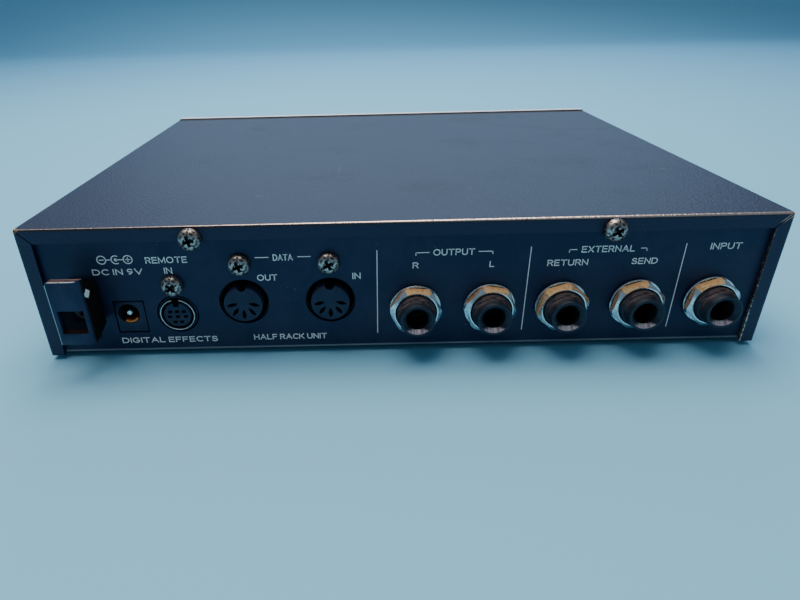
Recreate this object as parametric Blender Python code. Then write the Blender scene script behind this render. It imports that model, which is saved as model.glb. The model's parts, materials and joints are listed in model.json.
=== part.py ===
"""Half-rack digital effects unit: steel cover and chassis, front panel with knobs, keys and a display,
rear panel with five phone jacks, two five-pin sockets, a remote socket, a power socket and a cord hook.

Frame: +Z up, the front panel faces -Y, the sockets face +Y. The origin is at the middle of the
bounding box, on the plane that the feet stand on.
"""

import math

import bmesh
import bpy
from mathutils import Vector

MM = 0.001
GAP = 0.3 * MM  # left between pieces that touch on the real unit

# Case
WIDTH = 216 * MM
BODY_DEPTH = 165 * MM  # front face of the front panel to the rear flanges
FOOT_HEIGHT = 1.5 * MM
COVER_HEIGHT = 41.6 * MM
SHEET = 1.0 * MM
FRONT_REACH = 15 * MM  # the dial stands this far out of the front panel
REAR_REACH = 10 * MM  # the cord hook stands this far out of the rear flanges

REAR = (BODY_DEPTH + FRONT_REACH - REAR_REACH) / 2  # outer face of the rear flanges
FRONT = REAR - BODY_DEPTH  # outer face of the front panel
BASE = FOOT_HEIGHT  # lower edge of the cover
TOP = BASE + COVER_HEIGHT
HALF = WIDTH / 2

# Cover
TOP_FLANGE = 4.5 * MM
SIDE_FLANGE = 4.2 * MM
COVER_EDGE = 0.6 * MM
COVER_SCREW_X = 59 * MM
COVER_SCREW_Z = BASE + 37.8 * MM
SCREW_NOTCH_R = 1.8 * MM
SEAM = 0.3 * MM  # slit between the bent flanges at each upper corner

# Front panel
PANEL_T = 3 * MM
PANEL_PROUD = 0.5 * MM  # how far the front panel stands above the cover

# Chassis
CHASSIS_BOTTOM = BASE + 0.6 * MM
PLATE_TOP = CHASSIS_BOTTOM + SHEET
WALL_OUT = REAR - SHEET - GAP  # outer face of the rear wall, inside the cover's flanges
WALL_IN = WALL_OUT - SHEET
CHASSIS_HALF = HALF - SHEET - GAP
CHASSIS_TOP = TOP - SHEET - GAP
FRONT_WALL = FRONT + PANEL_T + GAP
FRONT_FRAME = 7 * MM  # width of the chassis front wall round its opening
SIDE_LIP = 9 * MM
STANDOFF_R = 2.6 * MM

# Circuit boards
BOARD_T = 1.6 * MM
BOARD_TOP = BASE + 7.1 * MM
BOARD_BOTTOM = BOARD_TOP - BOARD_T
PART_BASE = BOARD_TOP + GAP  # underside of what is soldered on the main board
BOARD_HALF = 100 * MM
BOARD_FRONT = -38 * MM
BOARD_REAR = WALL_IN - 1 * MM
CONTROL_FRONT = FRONT + 10 * MM  # front face of the upright board behind the front panel
CONTROL_HALF = 97 * MM

# Rear sockets: +X is towards the power socket
JACK_PLACES = {
    "output_r": (-4.3 * MM, BASE + 13.6 * MM),
    "output_l": (-26.3 * MM, BASE + 13.6 * MM),
    "return": (-47.5 * MM, BASE + 13.8 * MM),
    "send": (-69.6 * MM, BASE + 14 * MM),
    "input": (-91.4 * MM, BASE + 14.4 * MM),
}
BARREL_R = 5.75 * MM
LIP_R = 4.7 * MM
BORE_R = 3.25 * MM
BARREL_OUT = REAR + 7.3 * MM
JACK_BODY = (17 * MM, 25 * MM, 12.6 * MM)
NUT_FLATS = 14 * MM
NUT_T = 2.3 * MM
NUT_TURNS = {"output_r": -5, "output_l": -10, "return": 17, "send": 18, "input": 20}  # degrees
WASHER_R = 7.5 * MM
WASHER_T = 0.8 * MM

DATA_SOCKETS = (("data_out", 46.6 * MM), ("data_in", 20.9 * MM))
DATA_Z = BASE + 16.7 * MM
DATA_HOLE_R = 7.4 * MM
DATA_CORE_R = 5.8 * MM
DATA_CORE_OUT = 1.8 * MM  # how far the core stands out of the rear wall
DATA_GROOVE_R = 6.95 * MM
DATA_SCREW_RISE = 12.4 * MM
DATA_BODY = (20 * MM, 15 * MM)  # width, depth
DATA_PIN_FAN = (0.8 * MM, 4.1 * MM)  # height of the fan's centre, distance of the pins from it
DATA_PIN_TURNS = (-70, -36, 0, 36, 70)
PIN_DEPTH = 8 * MM

REMOTE_X = 66.9 * MM
REMOTE_Z = BASE + 13.1 * MM
REMOTE_HOLE_R = 6.3 * MM
REMOTE_CORE_R = 4.1 * MM
REMOTE_SHELL = (4.7 * MM, 5.2 * MM)  # inner and outer radius
REMOTE_OUT = 0.8 * MM  # how far the shield ring and the core stand out of the rear wall
REMOTE_SCREW_RISE = 9.8 * MM
REMOTE_PIN_ROWS = ((1.1, (-2.05, 0, 2.05)), (-0.6, (-2.4, 0, 2.4)), (-2.4, (-0.95, 0.95)))  # mm
REMOTE_BODY = (14 * MM, 13 * MM)

DC_X = 81.2 * MM
DC_Z = BASE + 12.4 * MM
DC_FACE = (8.8 * MM, 10.4 * MM)
DC_DEPTH = 13.5 * MM
DC_HOLE_R = 3.15 * MM
DC_HOLE_DEPTH = 9.5 * MM
DC_HOLE_AT = (DC_X + 0.5 * MM, DC_Z + 1.1 * MM)
DC_PIN_R = 1.0 * MM

# Cord hook
HOOK_X = (87.0 * MM, 97.4 * MM)
HOOK_Z = (BASE + 10 * MM, BASE + 30 * MM)
HOOK_T = 2.0 * MM
HOOK_BACK_TOP = BASE + 25 * MM  # upper edge of the flange on the rear wall
HOOK_HOLE = 7 * MM
HOOK_HOLE_AT = (92.4 * MM, BASE + 17.4 * MM)

# Screws
HEAD_R = 3.3 * MM
HEAD_T = 2.3 * MM
SHANK_R = 1.5 * MM
SHANK_LENGTH = 6 * MM
RECESS = (0.9 * MM, 3.4 * MM, 1.5 * MM)  # slot width, length and depth

# Feet
FOOT_R = 6 * MM
FOOT_X = 88 * MM
FOOT_Y = 62 * MM

# Controls on the front panel
PANEL_MIDDLE = BASE + COVER_HEIGHT / 2
SHAFT_R = 3 * MM
KNOBS = (  # name, centre x, centre z, radius, length
    ("input", -93 * MM, PANEL_MIDDLE, 6.5 * MM, 12 * MM),
    ("output", -71 * MM, PANEL_MIDDLE, 6.5 * MM, 12 * MM),
    ("value", 64 * MM, PANEL_MIDDLE, 13 * MM, 14 * MM),
)
KNOB_OFF = 1 * MM  # between a knob and the front panel
POT_SIZE = 11 * MM
KEY_SIZE = (10 * MM, 5 * MM)
KEY_TRAVEL = 0.5 * MM
KEYS = (
    ("edit_key", 24 * MM, PANEL_MIDDLE + 7.5 * MM),
    ("page_key", 40 * MM, PANEL_MIDDLE + 7.5 * MM),
    ("store_key", 24 * MM, PANEL_MIDDLE - 7.5 * MM),
    ("bypass_key", 40 * MM, PANEL_MIDDLE - 7.5 * MM),
)
KEY_OUT = 1.6 * MM
POWER_X = 93 * MM
POWER_SIZE = 8 * MM
POWER_OUT = 4.5 * MM
POWER_STEM = 4.2 * MM
POWER_SWITCH = 11 * MM
WINDOW = (-52 * MM, 12 * MM, PANEL_MIDDLE - 11 * MM, PANEL_MIDDLE + 11 * MM)
LED_X = -82 * MM
LED_Z = PANEL_MIDDLE + 13.5 * MM
LED_R = 1.5 * MM


# Mesh tools. Each returns a closed mesh about its own origin.


def finished(shape):
    """The bmesh as a mesh, with its faces pointing out."""
    bmesh.ops.recalc_face_normals(shape, faces=shape.faces)
    mesh = bpy.data.meshes.new("shape")
    shape.to_mesh(mesh)
    shape.free()
    return mesh


def block(low, high):
    """A rectangular block between two corners."""
    shape = bmesh.new()
    bmesh.ops.create_cube(shape, size=1)
    low, high = Vector(low), Vector(high)
    for vertex in shape.verts:
        vertex.co = Vector(low[k] if vertex.co[k] < 0 else high[k] for k in range(3))
    return finished(shape)


def turned(profile, segments=24, centre=(0, 0, 0)):
    """A profile of (along Y, radius) points turned about the Y axis. A profile that starts and ends
    at radius 0 is a solid, and any other is a ring."""
    shape = bmesh.new()
    rings = []
    for along, radius in profile:
        if radius == 0:
            rings.append([shape.verts.new((0, along, 0))] * segments)
            continue
        ring = []
        for step in range(segments):
            angle = math.tau * (step + 0.5) / segments
            ring.append(shape.verts.new((radius * math.sin(angle), along, radius * math.cos(angle))))
        rings.append(ring)
    closed = profile[0][1] > 0
    for first, second in zip(rings, rings[1:] + rings[:1] if closed else rings[1:]):
        for step in range(segments):
            corners = [first[step], first[step - 1], second[step - 1], second[step]]
            shape.faces.new(list(dict.fromkeys(corners)))
    bmesh.ops.translate(shape, vec=centre, verts=shape.verts)
    return finished(shape)


def rod(start, end, radius, segments=24, centre=(0, 0, 0)):
    return turned([(start, 0), (start, radius), (end, radius), (end, 0)], segments, centre)


def disc(low_radius, high_radius, height):
    """An upright cylinder or cone that stands on z 0."""
    shape = bmesh.new()
    bmesh.ops.create_cone(
        shape, cap_ends=True, segments=20, radius1=low_radius, radius2=high_radius, depth=height
    )
    bmesh.ops.translate(shape, vec=(0, 0, height / 2), verts=shape.verts)
    return finished(shape)


def prism(outline, axis, low, high):
    """An outline in the two axes other than the given one, extruded between low and high along it."""
    shape = bmesh.new()
    corners = []
    for a, b in outline:
        point = [a, b]
        point.insert(axis, low)
        corners.append(shape.verts.new(point))
    face = shape.faces.new(corners)
    made = bmesh.ops.extrude_face_region(shape, geom=[face])
    moved = [item for item in made["geom"] if isinstance(item, bmesh.types.BMVert)]
    travel = Vector((0, 0, 0))
    travel[axis] = high - low
    bmesh.ops.translate(shape, vec=travel, verts=moved)
    return finished(shape)


def carved(base, joins=(), cuts=()):
    """The base mesh with other meshes joined to it and cut from it."""
    helpers = []

    def helper(mesh):
        made = bpy.data.objects.new("helper", mesh)
        bpy.context.scene.collection.objects.link(made)
        helpers.append(made)
        return made

    body = helper(base)
    for operation, tools in (("UNION", joins), ("DIFFERENCE", cuts)):
        for tool in tools:
            modifier = body.modifiers.new("carve", "BOOLEAN")
            modifier.operation = operation
            modifier.object = helper(tool)
    bpy.context.view_layer.update()
    graph = bpy.context.evaluated_depsgraph_get()
    mesh = bpy.data.meshes.new_from_object(body.evaluated_get(graph))
    for made in helpers:
        bpy.data.objects.remove(made)
    return mesh


def material(name, colour, roughness, metallic=0.0):
    made = bpy.data.materials.new(name)
    made.use_nodes = True
    shader = made.node_tree.nodes["Principled BSDF"]
    shader.inputs["Base Color"].default_value = (*colour, 1)
    shader.inputs["Roughness"].default_value = roughness
    shader.inputs["Metallic"].default_value = metallic
    return made


def place(name, mesh, finish, location=(0, 0, 0)):
    """The mesh as a named piece of the unit, with its origin at the location."""
    piece = bpy.data.objects.new(name, mesh)
    bpy.context.scene.collection.objects.link(piece)
    piece.location = location
    if not mesh.materials:
        mesh.materials.append(finish)
    mesh.shade_smooth()
    mesh.set_sharp_from_angle(angle=math.radians(35))
    return piece


# Case


def bevelled_cover_block():
    """The cover's outer block, with the bends along its upper and rear edges rounded."""
    shape = bmesh.new()
    bmesh.ops.create_cube(shape, size=1)
    for vertex in shape.verts:
        x, y, z = vertex.co
        vertex.co = (
            math.copysign(HALF, x),
            FRONT_WALL if y < 0 else REAR,
            BASE if z < 0 else TOP,
        )

    def is_bend(edge):
        first, second = (v.co for v in edge.verts)
        at_top = first.z == second.z == max(v.co.z for v in shape.verts)
        at_rear = first.y == second.y == max(v.co.y for v in shape.verts)
        at_side = first.x == second.x
        return (at_top and (at_side or at_rear)) or (at_rear and at_side)

    bends = [edge for edge in shape.edges if is_bend(edge)]
    bmesh.ops.bevel(shape, geom=bends, offset=COVER_EDGE, segments=2, profile=0.5, affect="EDGES")
    return finished(shape)


def corner_seam(side):
    """A cutter for the slit that runs down at 45 degrees where the top and side flanges meet."""
    start = Vector((side * (HALF + 1 * MM), TOP + 1 * MM))
    end = Vector((side * (HALF - SIDE_FLANGE - 1 * MM), TOP - SIDE_FLANGE - 1 * MM))
    across = Vector((1, -side)).normalized() * SEAM / 2
    outline = [start + across, start - across, end - across, end + across]
    return prism(outline, 1, REAR - SHEET * 0.95, REAR + 1 * MM)


def top_cover(paint):
    far = 10 * MM
    inside = block(
        (-HALF + SHEET, FRONT_WALL - far, BASE - far), (HALF - SHEET, REAR - SHEET, TOP - SHEET)
    )
    rear_opening = block(
        (-HALF + SIDE_FLANGE, REAR - 2 * far, BASE - far),
        (HALF - SIDE_FLANGE, REAR + far, TOP - TOP_FLANGE),
    )
    notches = []
    for side in (-1, 1):
        centre = Vector((side * COVER_SCREW_X, 0, COVER_SCREW_Z))
        notches.append(rod(REAR - far, REAR + far, SCREW_NOTCH_R, 16, centre))
        notches.append(
            block(
                (centre.x - SCREW_NOTCH_R, REAR - far, TOP - TOP_FLANGE - far / 2),
                (centre.x + SCREW_NOTCH_R, REAR + far, centre.z),
            )
        )
    seams = [corner_seam(side) for side in (-1, 1)]
    mesh = carved(bevelled_cover_block(), cuts=[inside, rear_opening, *notches, *seams])
    place("top_cover", mesh, paint)


def screw_places():
    """The places of the rear panel's screws as name, x, z and the face that the head sits on."""
    places = [
        ("cover_screw_left", COVER_SCREW_X, COVER_SCREW_Z, REAR),
        ("cover_screw_right", -COVER_SCREW_X, COVER_SCREW_Z, REAR),
        ("remote_screw", REMOTE_X, REMOTE_Z + REMOTE_SCREW_RISE, WALL_OUT),
        ("cord_hook_screw", *HOOK_HOLE_AT, WALL_OUT + GAP + HOOK_T),
    ]
    for name, x in DATA_SOCKETS:
        places.append((name + "_screw", x, DATA_Z + DATA_SCREW_RISE, WALL_OUT))
    return places


def rear_cutters():
    """Cutters for every hole in the chassis rear wall."""
    low, high = WALL_IN - 3 * MM, WALL_OUT + 3 * MM

    def hole(x, z, radius, segments=24):
        return rod(low, high, radius, segments, (x, 0, z))

    holes = [hole(x, z, BARREL_R + GAP) for x, z in JACK_PLACES.values()]
    holes += [hole(x, DATA_Z, DATA_HOLE_R, 32) for _, x in DATA_SOCKETS]
    holes.append(hole(REMOTE_X, REMOTE_Z, REMOTE_HOLE_R))
    holes += [hole(x, z, SHANK_R + GAP, 12) for _, x, z, _ in screw_places()]
    half_w, half_h = DC_FACE[0] / 2 + GAP, DC_FACE[1] / 2 + GAP
    holes.append(block((DC_X - half_w, low, DC_Z - half_h), (DC_X + half_w, high, DC_Z + half_h)))
    return holes


def board_posts():
    """Centres of the pressed posts that hold the main board."""
    return [(x, y) for x in (-90 * MM, 90 * MM) for y in (BOARD_FRONT + 8 * MM, 55 * MM)]


def chassis(paint):
    far = 20 * MM
    tray = block((-CHASSIS_HALF, FRONT_WALL, CHASSIS_BOTTOM), (CHASSIS_HALF, WALL_OUT, CHASSIS_TOP))
    room = block(
        (-CHASSIS_HALF + SHEET, FRONT_WALL + SHEET, PLATE_TOP),
        (CHASSIS_HALF - SHEET, WALL_IN, CHASSIS_TOP + far),
    )
    over_sides = block(
        (-CHASSIS_HALF - far, FRONT_WALL + SHEET, PLATE_TOP + SIDE_LIP),
        (CHASSIS_HALF + far, WALL_IN, CHASSIS_TOP + far),
    )
    opening = block(
        (-CHASSIS_HALF + FRONT_FRAME, FRONT_WALL - far, PLATE_TOP + 2 * MM),
        (CHASSIS_HALF - FRONT_FRAME, FRONT_WALL + far, CHASSIS_TOP - 2 * MM),
    )
    shell = carved(tray, cuts=[room, over_sides, opening, *rear_cutters()])
    posts = []
    for x, y in board_posts():
        posts.append(
            block(
                (x - STANDOFF_R, y - STANDOFF_R, CHASSIS_BOTTOM + SHEET / 2),
                (x + STANDOFF_R, y + STANDOFF_R, BOARD_BOTTOM - GAP),
            )
        )
    place("chassis", carved(shell, joins=posts), paint)


def front_panel(finish):
    low, high = FRONT - 5 * MM, FRONT + PANEL_T + 5 * MM

    def window(x0, x1, z0, z1):
        return block((x0, low, z0), (x1, high, z1))

    def hole(x, z, radius):
        return rod(low, high, radius, 20, (x, 0, z))

    cuts = [window(WINDOW[0] - GAP, WINDOW[1] + GAP, WINDOW[2] - GAP, WINDOW[3] + GAP)]
    cuts += [hole(x, z, SHAFT_R + 0.8 * MM) for _, x, z, _, _ in KNOBS]
    cuts.append(hole(LED_X, LED_Z, LED_R + GAP))
    half = POWER_SIZE / 2 + GAP
    cuts.append(window(POWER_X - half, POWER_X + half, PANEL_MIDDLE - half, PANEL_MIDDLE + half))
    half_w, half_h = KEY_SIZE[0] / 2 + GAP, KEY_SIZE[1] / 2 + GAP
    cuts += [window(x - half_w, x + half_w, z - half_h, z + half_h) for _, x, z in KEYS]
    plate = block((-HALF, FRONT, BASE), (HALF, FRONT + PANEL_T, TOP + PANEL_PROUD))
    place("front_panel", carved(plate, cuts=cuts), finish)


def feet(rubber):
    names = ("foot_front_left", "foot_front_right", "foot_rear_left", "foot_rear_right")
    places = [(x, y) for y in (-FOOT_Y, FOOT_Y) for x in (-FOOT_X, FOOT_X)]
    top = CHASSIS_BOTTOM - GAP
    for name, (x, y) in zip(names, places):
        place(name, disc(FOOT_R * 0.9, FOOT_R, top), rubber, (x, y, 0))


# Fasteners


def screw_mesh():
    """A pan head screw with a cross recess. Its head starts at y 0 and its shank runs to -Y."""
    width, length, depth = RECESS
    dome = [(0.45, 1.0), (0.8, 0.82), (1.0, 0.5)]
    profile = [(-SHANK_LENGTH, 0), (-SHANK_LENGTH, SHANK_R), (0, SHANK_R), (0, HEAD_R)]
    profile += [(along * HEAD_T, share * HEAD_R) for along, share in dome]
    profile.append((HEAD_T, 0))
    slots = []
    for across, high in ((length, width), (width, length)):
        slots.append(
            block((-across / 2, HEAD_T - depth, -high / 2), (across / 2, HEAD_T + 1 * MM, high / 2))
        )
    return carved(turned(profile, 16), cuts=slots)


def screws(steel):
    mesh = screw_mesh()
    for name, x, z, face in screw_places():
        place(name, mesh, steel, (x, face + GAP, z))


def jack_hardware(nickel):
    """A flat washer and a hexagon nut on each jack's barrel."""
    washer_start = WALL_OUT + GAP
    nut_start = washer_start + WASHER_T + GAP
    hole_r = BARREL_R + GAP
    washer = turned([(0, hole_r), (0, WASHER_R), (WASHER_T, WASHER_R), (WASHER_T, hole_r)])
    corner_r = NUT_FLATS / math.sqrt(3)
    hexagon = []
    for step in range(6):
        angle = math.tau * step / 6
        hexagon.append((corner_r * math.cos(angle), corner_r * math.sin(angle)))
    nut = carved(prism(hexagon, 1, 0, NUT_T), cuts=[rod(-NUT_T, 2 * NUT_T, hole_r)])
    for name, (x, z) in JACK_PLACES.items():
        place(name + "_washer", washer, nickel, (x, washer_start, z))
        piece = place(name + "_nut", nut, nickel, (x, nut_start, z))
        piece.rotation_euler.y = math.radians(NUT_TURNS[name])


# Rear sockets


def jacks(plastic):
    """Five phone jacks, each a box on the board with a round barrel through the rear wall."""
    width, depth, height = JACK_BODY
    shoulder = WALL_IN - GAP
    mouth = BARREL_OUT - shoulder
    barrel = turned(
        [
            (-2 * MM, 0),
            (-2 * MM, BARREL_R),
            (mouth - 1.6 * MM, BARREL_R),
            (mouth, LIP_R),
            (mouth, 0),
        ]
    )
    bore = rod(3 * MM - depth, mouth + 5 * MM, BORE_R)
    for name, (x, z) in JACK_PLACES.items():
        low = PART_BASE - z
        body = block((-width / 2, -depth, low), (width / 2, 0, low + height))
        mesh = carved(body, joins=[barrel], cuts=[bore])
        place(name + "_jack", mesh, plastic, (x, shoulder, z))


def screw_tab(body_top, rise, width):
    """The upright metal tab behind the rear wall that a socket's screw holds, and its hole."""
    tab = block((-width / 2, -3 * MM, body_top - 1 * MM), (width / 2, 0, rise + 3.2 * MM))
    return tab, rod(-10 * MM, 5 * MM, SHANK_R + GAP, 12, (0, 0, rise))


def data_socket_mesh():
    """A five-pin round socket behind the rear wall. Its round core stands out through the hole."""
    width, depth = DATA_BODY
    core_out = WALL_OUT + DATA_CORE_OUT - WALL_IN + GAP
    low = PART_BASE - DATA_Z
    top = width / 2 - 0.5 * MM
    body = block((-width / 2, -depth, low), (width / 2, 0, top))
    tab, tab_hole = screw_tab(top, DATA_SCREW_RISE, 9 * MM)
    core = rod(-2 * MM, core_out, DATA_CORE_R + 0.5 * MM, 32)
    groove = turned(
        [
            (-PIN_DEPTH, DATA_CORE_R),
            (-PIN_DEPTH, DATA_GROOVE_R),
            (core_out + 2 * MM, DATA_GROOVE_R),
            (core_out + 2 * MM, DATA_CORE_R),
        ],
        32,
    )
    key = block(
        (-1.2 * MM, -PIN_DEPTH, DATA_CORE_R - 1.2 * MM),
        (1.2 * MM, core_out + 2 * MM, DATA_CORE_R + 0.6 * MM),
    )
    rise, reach = DATA_PIN_FAN
    pins = []
    for turn in DATA_PIN_TURNS:
        angle = math.radians(turn)
        centre = (reach * math.sin(angle), 0, rise - reach * math.cos(angle))
        pins.append(rod(-PIN_DEPTH, core_out + 2 * MM, 0.7 * MM, 8, centre))
    return carved(body, joins=[core, tab], cuts=[groove, key, tab_hole, *pins])


def data_sockets(plastic):
    mesh = data_socket_mesh()
    for name, x in DATA_SOCKETS:
        place(name + "_socket", mesh, plastic, (x, WALL_IN - GAP, DATA_Z))


def remote_socket(plastic, nickel):
    """An eight-pin miniature socket: a moulded body with a round boss, and the shield ring in it."""
    width, depth = REMOTE_BODY
    face = WALL_IN - GAP
    boss_out = WALL_OUT - face
    core_out = boss_out + REMOTE_OUT
    shell_in, shell_out = REMOTE_SHELL
    low = PART_BASE - REMOTE_Z
    top = 6.6 * MM
    body = block((-width / 2, -depth, low), (width / 2, 0, top))
    boss = rod(-2 * MM, boss_out, REMOTE_HOLE_R - GAP, 32)
    core = rod(-2 * MM, core_out, REMOTE_CORE_R + 0.5 * MM, 32)
    tab, tab_hole = screw_tab(top, REMOTE_SCREW_RISE, 8 * MM)
    groove = turned(
        [
            (-6 * MM, REMOTE_CORE_R),
            (-6 * MM, shell_out + GAP),
            (core_out + 2 * MM, shell_out + GAP),
            (core_out + 2 * MM, REMOTE_CORE_R),
        ],
        32,
    )
    key = block(
        (-0.85 * MM, -5 * MM, REMOTE_CORE_R - 1.2 * MM),
        (0.85 * MM, core_out + 2 * MM, REMOTE_CORE_R + 0.6 * MM),
    )
    pins = []
    for row, xs in REMOTE_PIN_ROWS:
        for x in xs:
            pins.append(rod(-5 * MM, core_out + 2 * MM, 0.45 * MM, 8, (x * MM, 0, row * MM)))
    mesh = carved(body, joins=[boss, core, tab], cuts=[groove, key, tab_hole, *pins])
    place("remote_socket", mesh, plastic, (REMOTE_X, face, REMOTE_Z))
    ring = turned(
        [(-5.7 * MM, shell_in), (-5.7 * MM, shell_out), (core_out, shell_out), (core_out, shell_in)], 32
    )
    place("remote_shield", ring, nickel, (REMOTE_X, face, REMOTE_Z))


def power_socket(plastic, nickel):
    """The barrel socket for the mains adaptor, and the pin in its mouth."""
    half_w, half_h = DC_FACE[0] / 2, DC_FACE[1] / 2
    body = block((-half_w, -DC_DEPTH, -half_h), (half_w, 0, half_h))
    hole_x, hole_z = DC_HOLE_AT
    mouth = rod(-DC_HOLE_DEPTH, 2 * MM, DC_HOLE_R, 24, (hole_x - DC_X, 0, hole_z - DC_Z))
    place("power_socket", carved(body, cuts=[mouth]), plastic, (DC_X, WALL_OUT, DC_Z))
    pin = rod(-DC_HOLE_DEPTH + GAP, -0.4 * MM, DC_PIN_R, 12)
    place("power_pin", pin, nickel, (hole_x, WALL_OUT, hole_z))


def cord_hook(paint):
    """A bent steel channel, open to the side, that the adaptor's cord is looped through.

    Its side wall slopes from the top of the outer plate down to the flange on the rear wall.
    """
    x0, x1 = HOOK_X
    back, out = WALL_OUT + GAP, REAR + REAR_REACH
    outline = [
        (x1, back),
        (x0, back),
        (x0, out),
        (x1, out),
        (x1, out - HOOK_T),
        (x0 + HOOK_T, out - HOOK_T),
        (x0 + HOOK_T, back + HOOK_T),
        (x1, back + HOOK_T),
    ]
    half = HOOK_HOLE / 2
    x, z = HOOK_HOLE_AT
    window = block((x - half, out - 3 * MM, z - half), (x + half, out + 3 * MM, z + half))
    screw_hole = rod(back - 3 * MM, back + 3 * MM, SHANK_R + GAP, 12, (x, 0, z))
    above = HOOK_Z[1] + 3 * MM
    slope = [
        (out - HOOK_T, above),
        (back - 1 * MM, above),
        (back - 1 * MM, HOOK_BACK_TOP),
        (back + HOOK_T, HOOK_BACK_TOP),
        (out - HOOK_T, HOOK_Z[1]),
    ]
    notch = prism(slope, 0, x0 - 1 * MM, x1 + 1 * MM)
    mesh = carved(prism(outline, 2, *HOOK_Z), cuts=[window, screw_hole, notch])
    place("cord_hook", mesh, paint)


# Inside


def main_board(laminate):
    plate = block((-BOARD_HALF, BOARD_FRONT, BOARD_BOTTOM), (BOARD_HALF, BOARD_REAR, BOARD_TOP))
    place("main_board", plate, laminate)


def control_board(laminate):
    """The upright board, with the four key switches soldered to its front."""
    back = CONTROL_FRONT + BOARD_T
    plate = block((-CONTROL_HALF, CONTROL_FRONT, BASE + 5 * MM), (CONTROL_HALF, back, TOP - 4 * MM))
    switches = []
    for _, x, z in KEYS:
        half = 3 * MM
        switches.append(
            block(
                (x - half, CONTROL_FRONT - 3.5 * MM, z - half),
                (x + half, CONTROL_FRONT + BOARD_T / 2, z + half),
            )
        )
    place("control_board", carved(plate, joins=switches), laminate)


def ribbon_cable(grey):
    """The flat cable that runs from the control board down to the main board."""
    start_y = CONTROL_FRONT + BOARD_T + GAP
    end_y = BOARD_FRONT + 14 * MM
    high, low = PANEL_MIDDLE, PART_BASE
    route = [
        (start_y, high),
        (start_y + 4 * MM, high),
        (start_y + 9 * MM, high - 2 * MM),
        (end_y - 9 * MM, high - 5 * MM),
        (end_y - 2 * MM, high - 9 * MM),
        (end_y, low + 4 * MM),
        (end_y, low),
    ]
    thick = 1 * MM
    other = [(y + thick, z) if z <= low + 4 * MM else (y, z + thick) for y, z in route]
    place("ribbon_cable", prism(route + other[::-1], 0, -12 * MM, 12 * MM), grey)


def heat_sink(aluminium):
    """A finned heat sink that stands behind the voltage regulator."""
    fin, pitch, fins, reach, spine = 1.2 * MM, 4 * MM, 5, 7 * MM, 2 * MM
    outline = []
    for index in range(fins):
        x = pitch * index
        outline += [(x, spine), (x, reach), (x + fin, reach), (x + fin, spine)]
    end = fin + pitch * (fins - 1)
    outline = [(0, 0), *outline[1:-1], (end, 0)]
    place("heat_sink", prism(outline, 2, 0, 20 * MM), aluminium, (62 * MM, 32 * MM, PART_BASE))


def board_parts(plastic, aluminium, nickel):
    """The larger parts on the main board."""
    chip = block((-14 * MM, -14 * MM, 0), (14 * MM, 14 * MM, 3 * MM))
    place("processor", chip, plastic, (-30 * MM, 10 * MM, PART_BASE))
    place("capacitor", disc(5 * MM, 5 * MM, 18 * MM), plastic, (48 * MM, 30 * MM, PART_BASE))
    place("backup_battery", disc(10 * MM, 10 * MM, 3.2 * MM), nickel, (-70 * MM, 0, PART_BASE))
    heat_sink(aluminium)


# Front controls


def knob_mesh(radius, length):
    """A knob with a blind hole for its shaft and a pointer groove, standing out along -Y from y 0."""
    edge = 1 * MM
    profile = [(0, 0), (0, radius), (edge - length, radius), (-length, radius - edge), (-length, 0)]
    body = turned(profile, 32)
    socket = rod(-length + 3 * MM, 1 * MM, SHAFT_R + GAP, 16)
    pointer = block(
        (-0.5 * MM, -length - 1 * MM, radius * 0.45), (0.5 * MM, 0.6 * MM - length, radius + 1 * MM)
    )
    return carved(body, cuts=[socket, pointer])


def knobs(plastic, steel, metal_case):
    """Two level controls and the value dial, each a fixed case, a turning shaft and a knob."""
    for name, x, z, radius, length in KNOBS:
        start = FRONT - KNOB_OFF
        case_front = FRONT_WALL + GAP
        shaft_out = start - length + 3 * MM + GAP - case_front + GAP
        place(name + "_knob", knob_mesh(radius, length), plastic, (x, start, z))
        shaft = rod(shaft_out, 0, SHAFT_R, 16)
        place(name + "_shaft", shaft, steel, (x, case_front - GAP, z))
        half = POT_SIZE / 2
        case = block((-half, 0, -half), (half, CONTROL_FRONT - GAP - case_front, half))
        place(name + "_control", case, metal_case, (x, case_front, z))


def keys(plastic):
    """Four push keys. Each has a lip behind the panel and a stem in front of its switch."""
    half_w, half_h = KEY_SIZE[0] / 2, KEY_SIZE[1] / 2
    lip_front = PANEL_T + GAP + 0.2 * MM
    cap = block((-half_w, -KEY_OUT, -half_h), (half_w, lip_front + 0.5 * MM, half_h))
    lip_w, lip_h = half_w + 1 * MM, half_h + 1 * MM
    lip = block((-lip_w, lip_front, -lip_h), (lip_w, lip_front + 1 * MM, lip_h))
    stem = block((-1.5 * MM, lip_front, -1.5 * MM), (1.5 * MM, 5.6 * MM, 1.5 * MM))
    mesh = carved(cap, joins=[lip, stem])
    for name, x, z in KEYS:
        place(name, mesh, plastic, (x, FRONT, z))


def power_key(plastic):
    """The power key, whose stem slides in the case of its switch."""
    half, stem_half, case_half = POWER_SIZE / 2, POWER_STEM / 2, POWER_SWITCH / 2
    cap = block((-half, -POWER_OUT, -half), (half, 2 * MM, half))
    stem = block((-stem_half, 1 * MM, -stem_half), (stem_half, 6.4 * MM, stem_half))
    place("power_key", carved(cap, joins=[stem]), plastic, (POWER_X, FRONT, PANEL_MIDDLE))
    front = 5 * MM
    back = CONTROL_FRONT - GAP - FRONT
    case = block((-case_half, front, -case_half), (case_half, back, case_half))
    hole = stem_half + 0.4 * MM
    well = block((-hole, front - 1 * MM, -hole), (hole, back - 0.5 * MM, hole))
    place("power_switch", carved(case, cuts=[well]), plastic, (POWER_X, FRONT, PANEL_MIDDLE))


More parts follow.
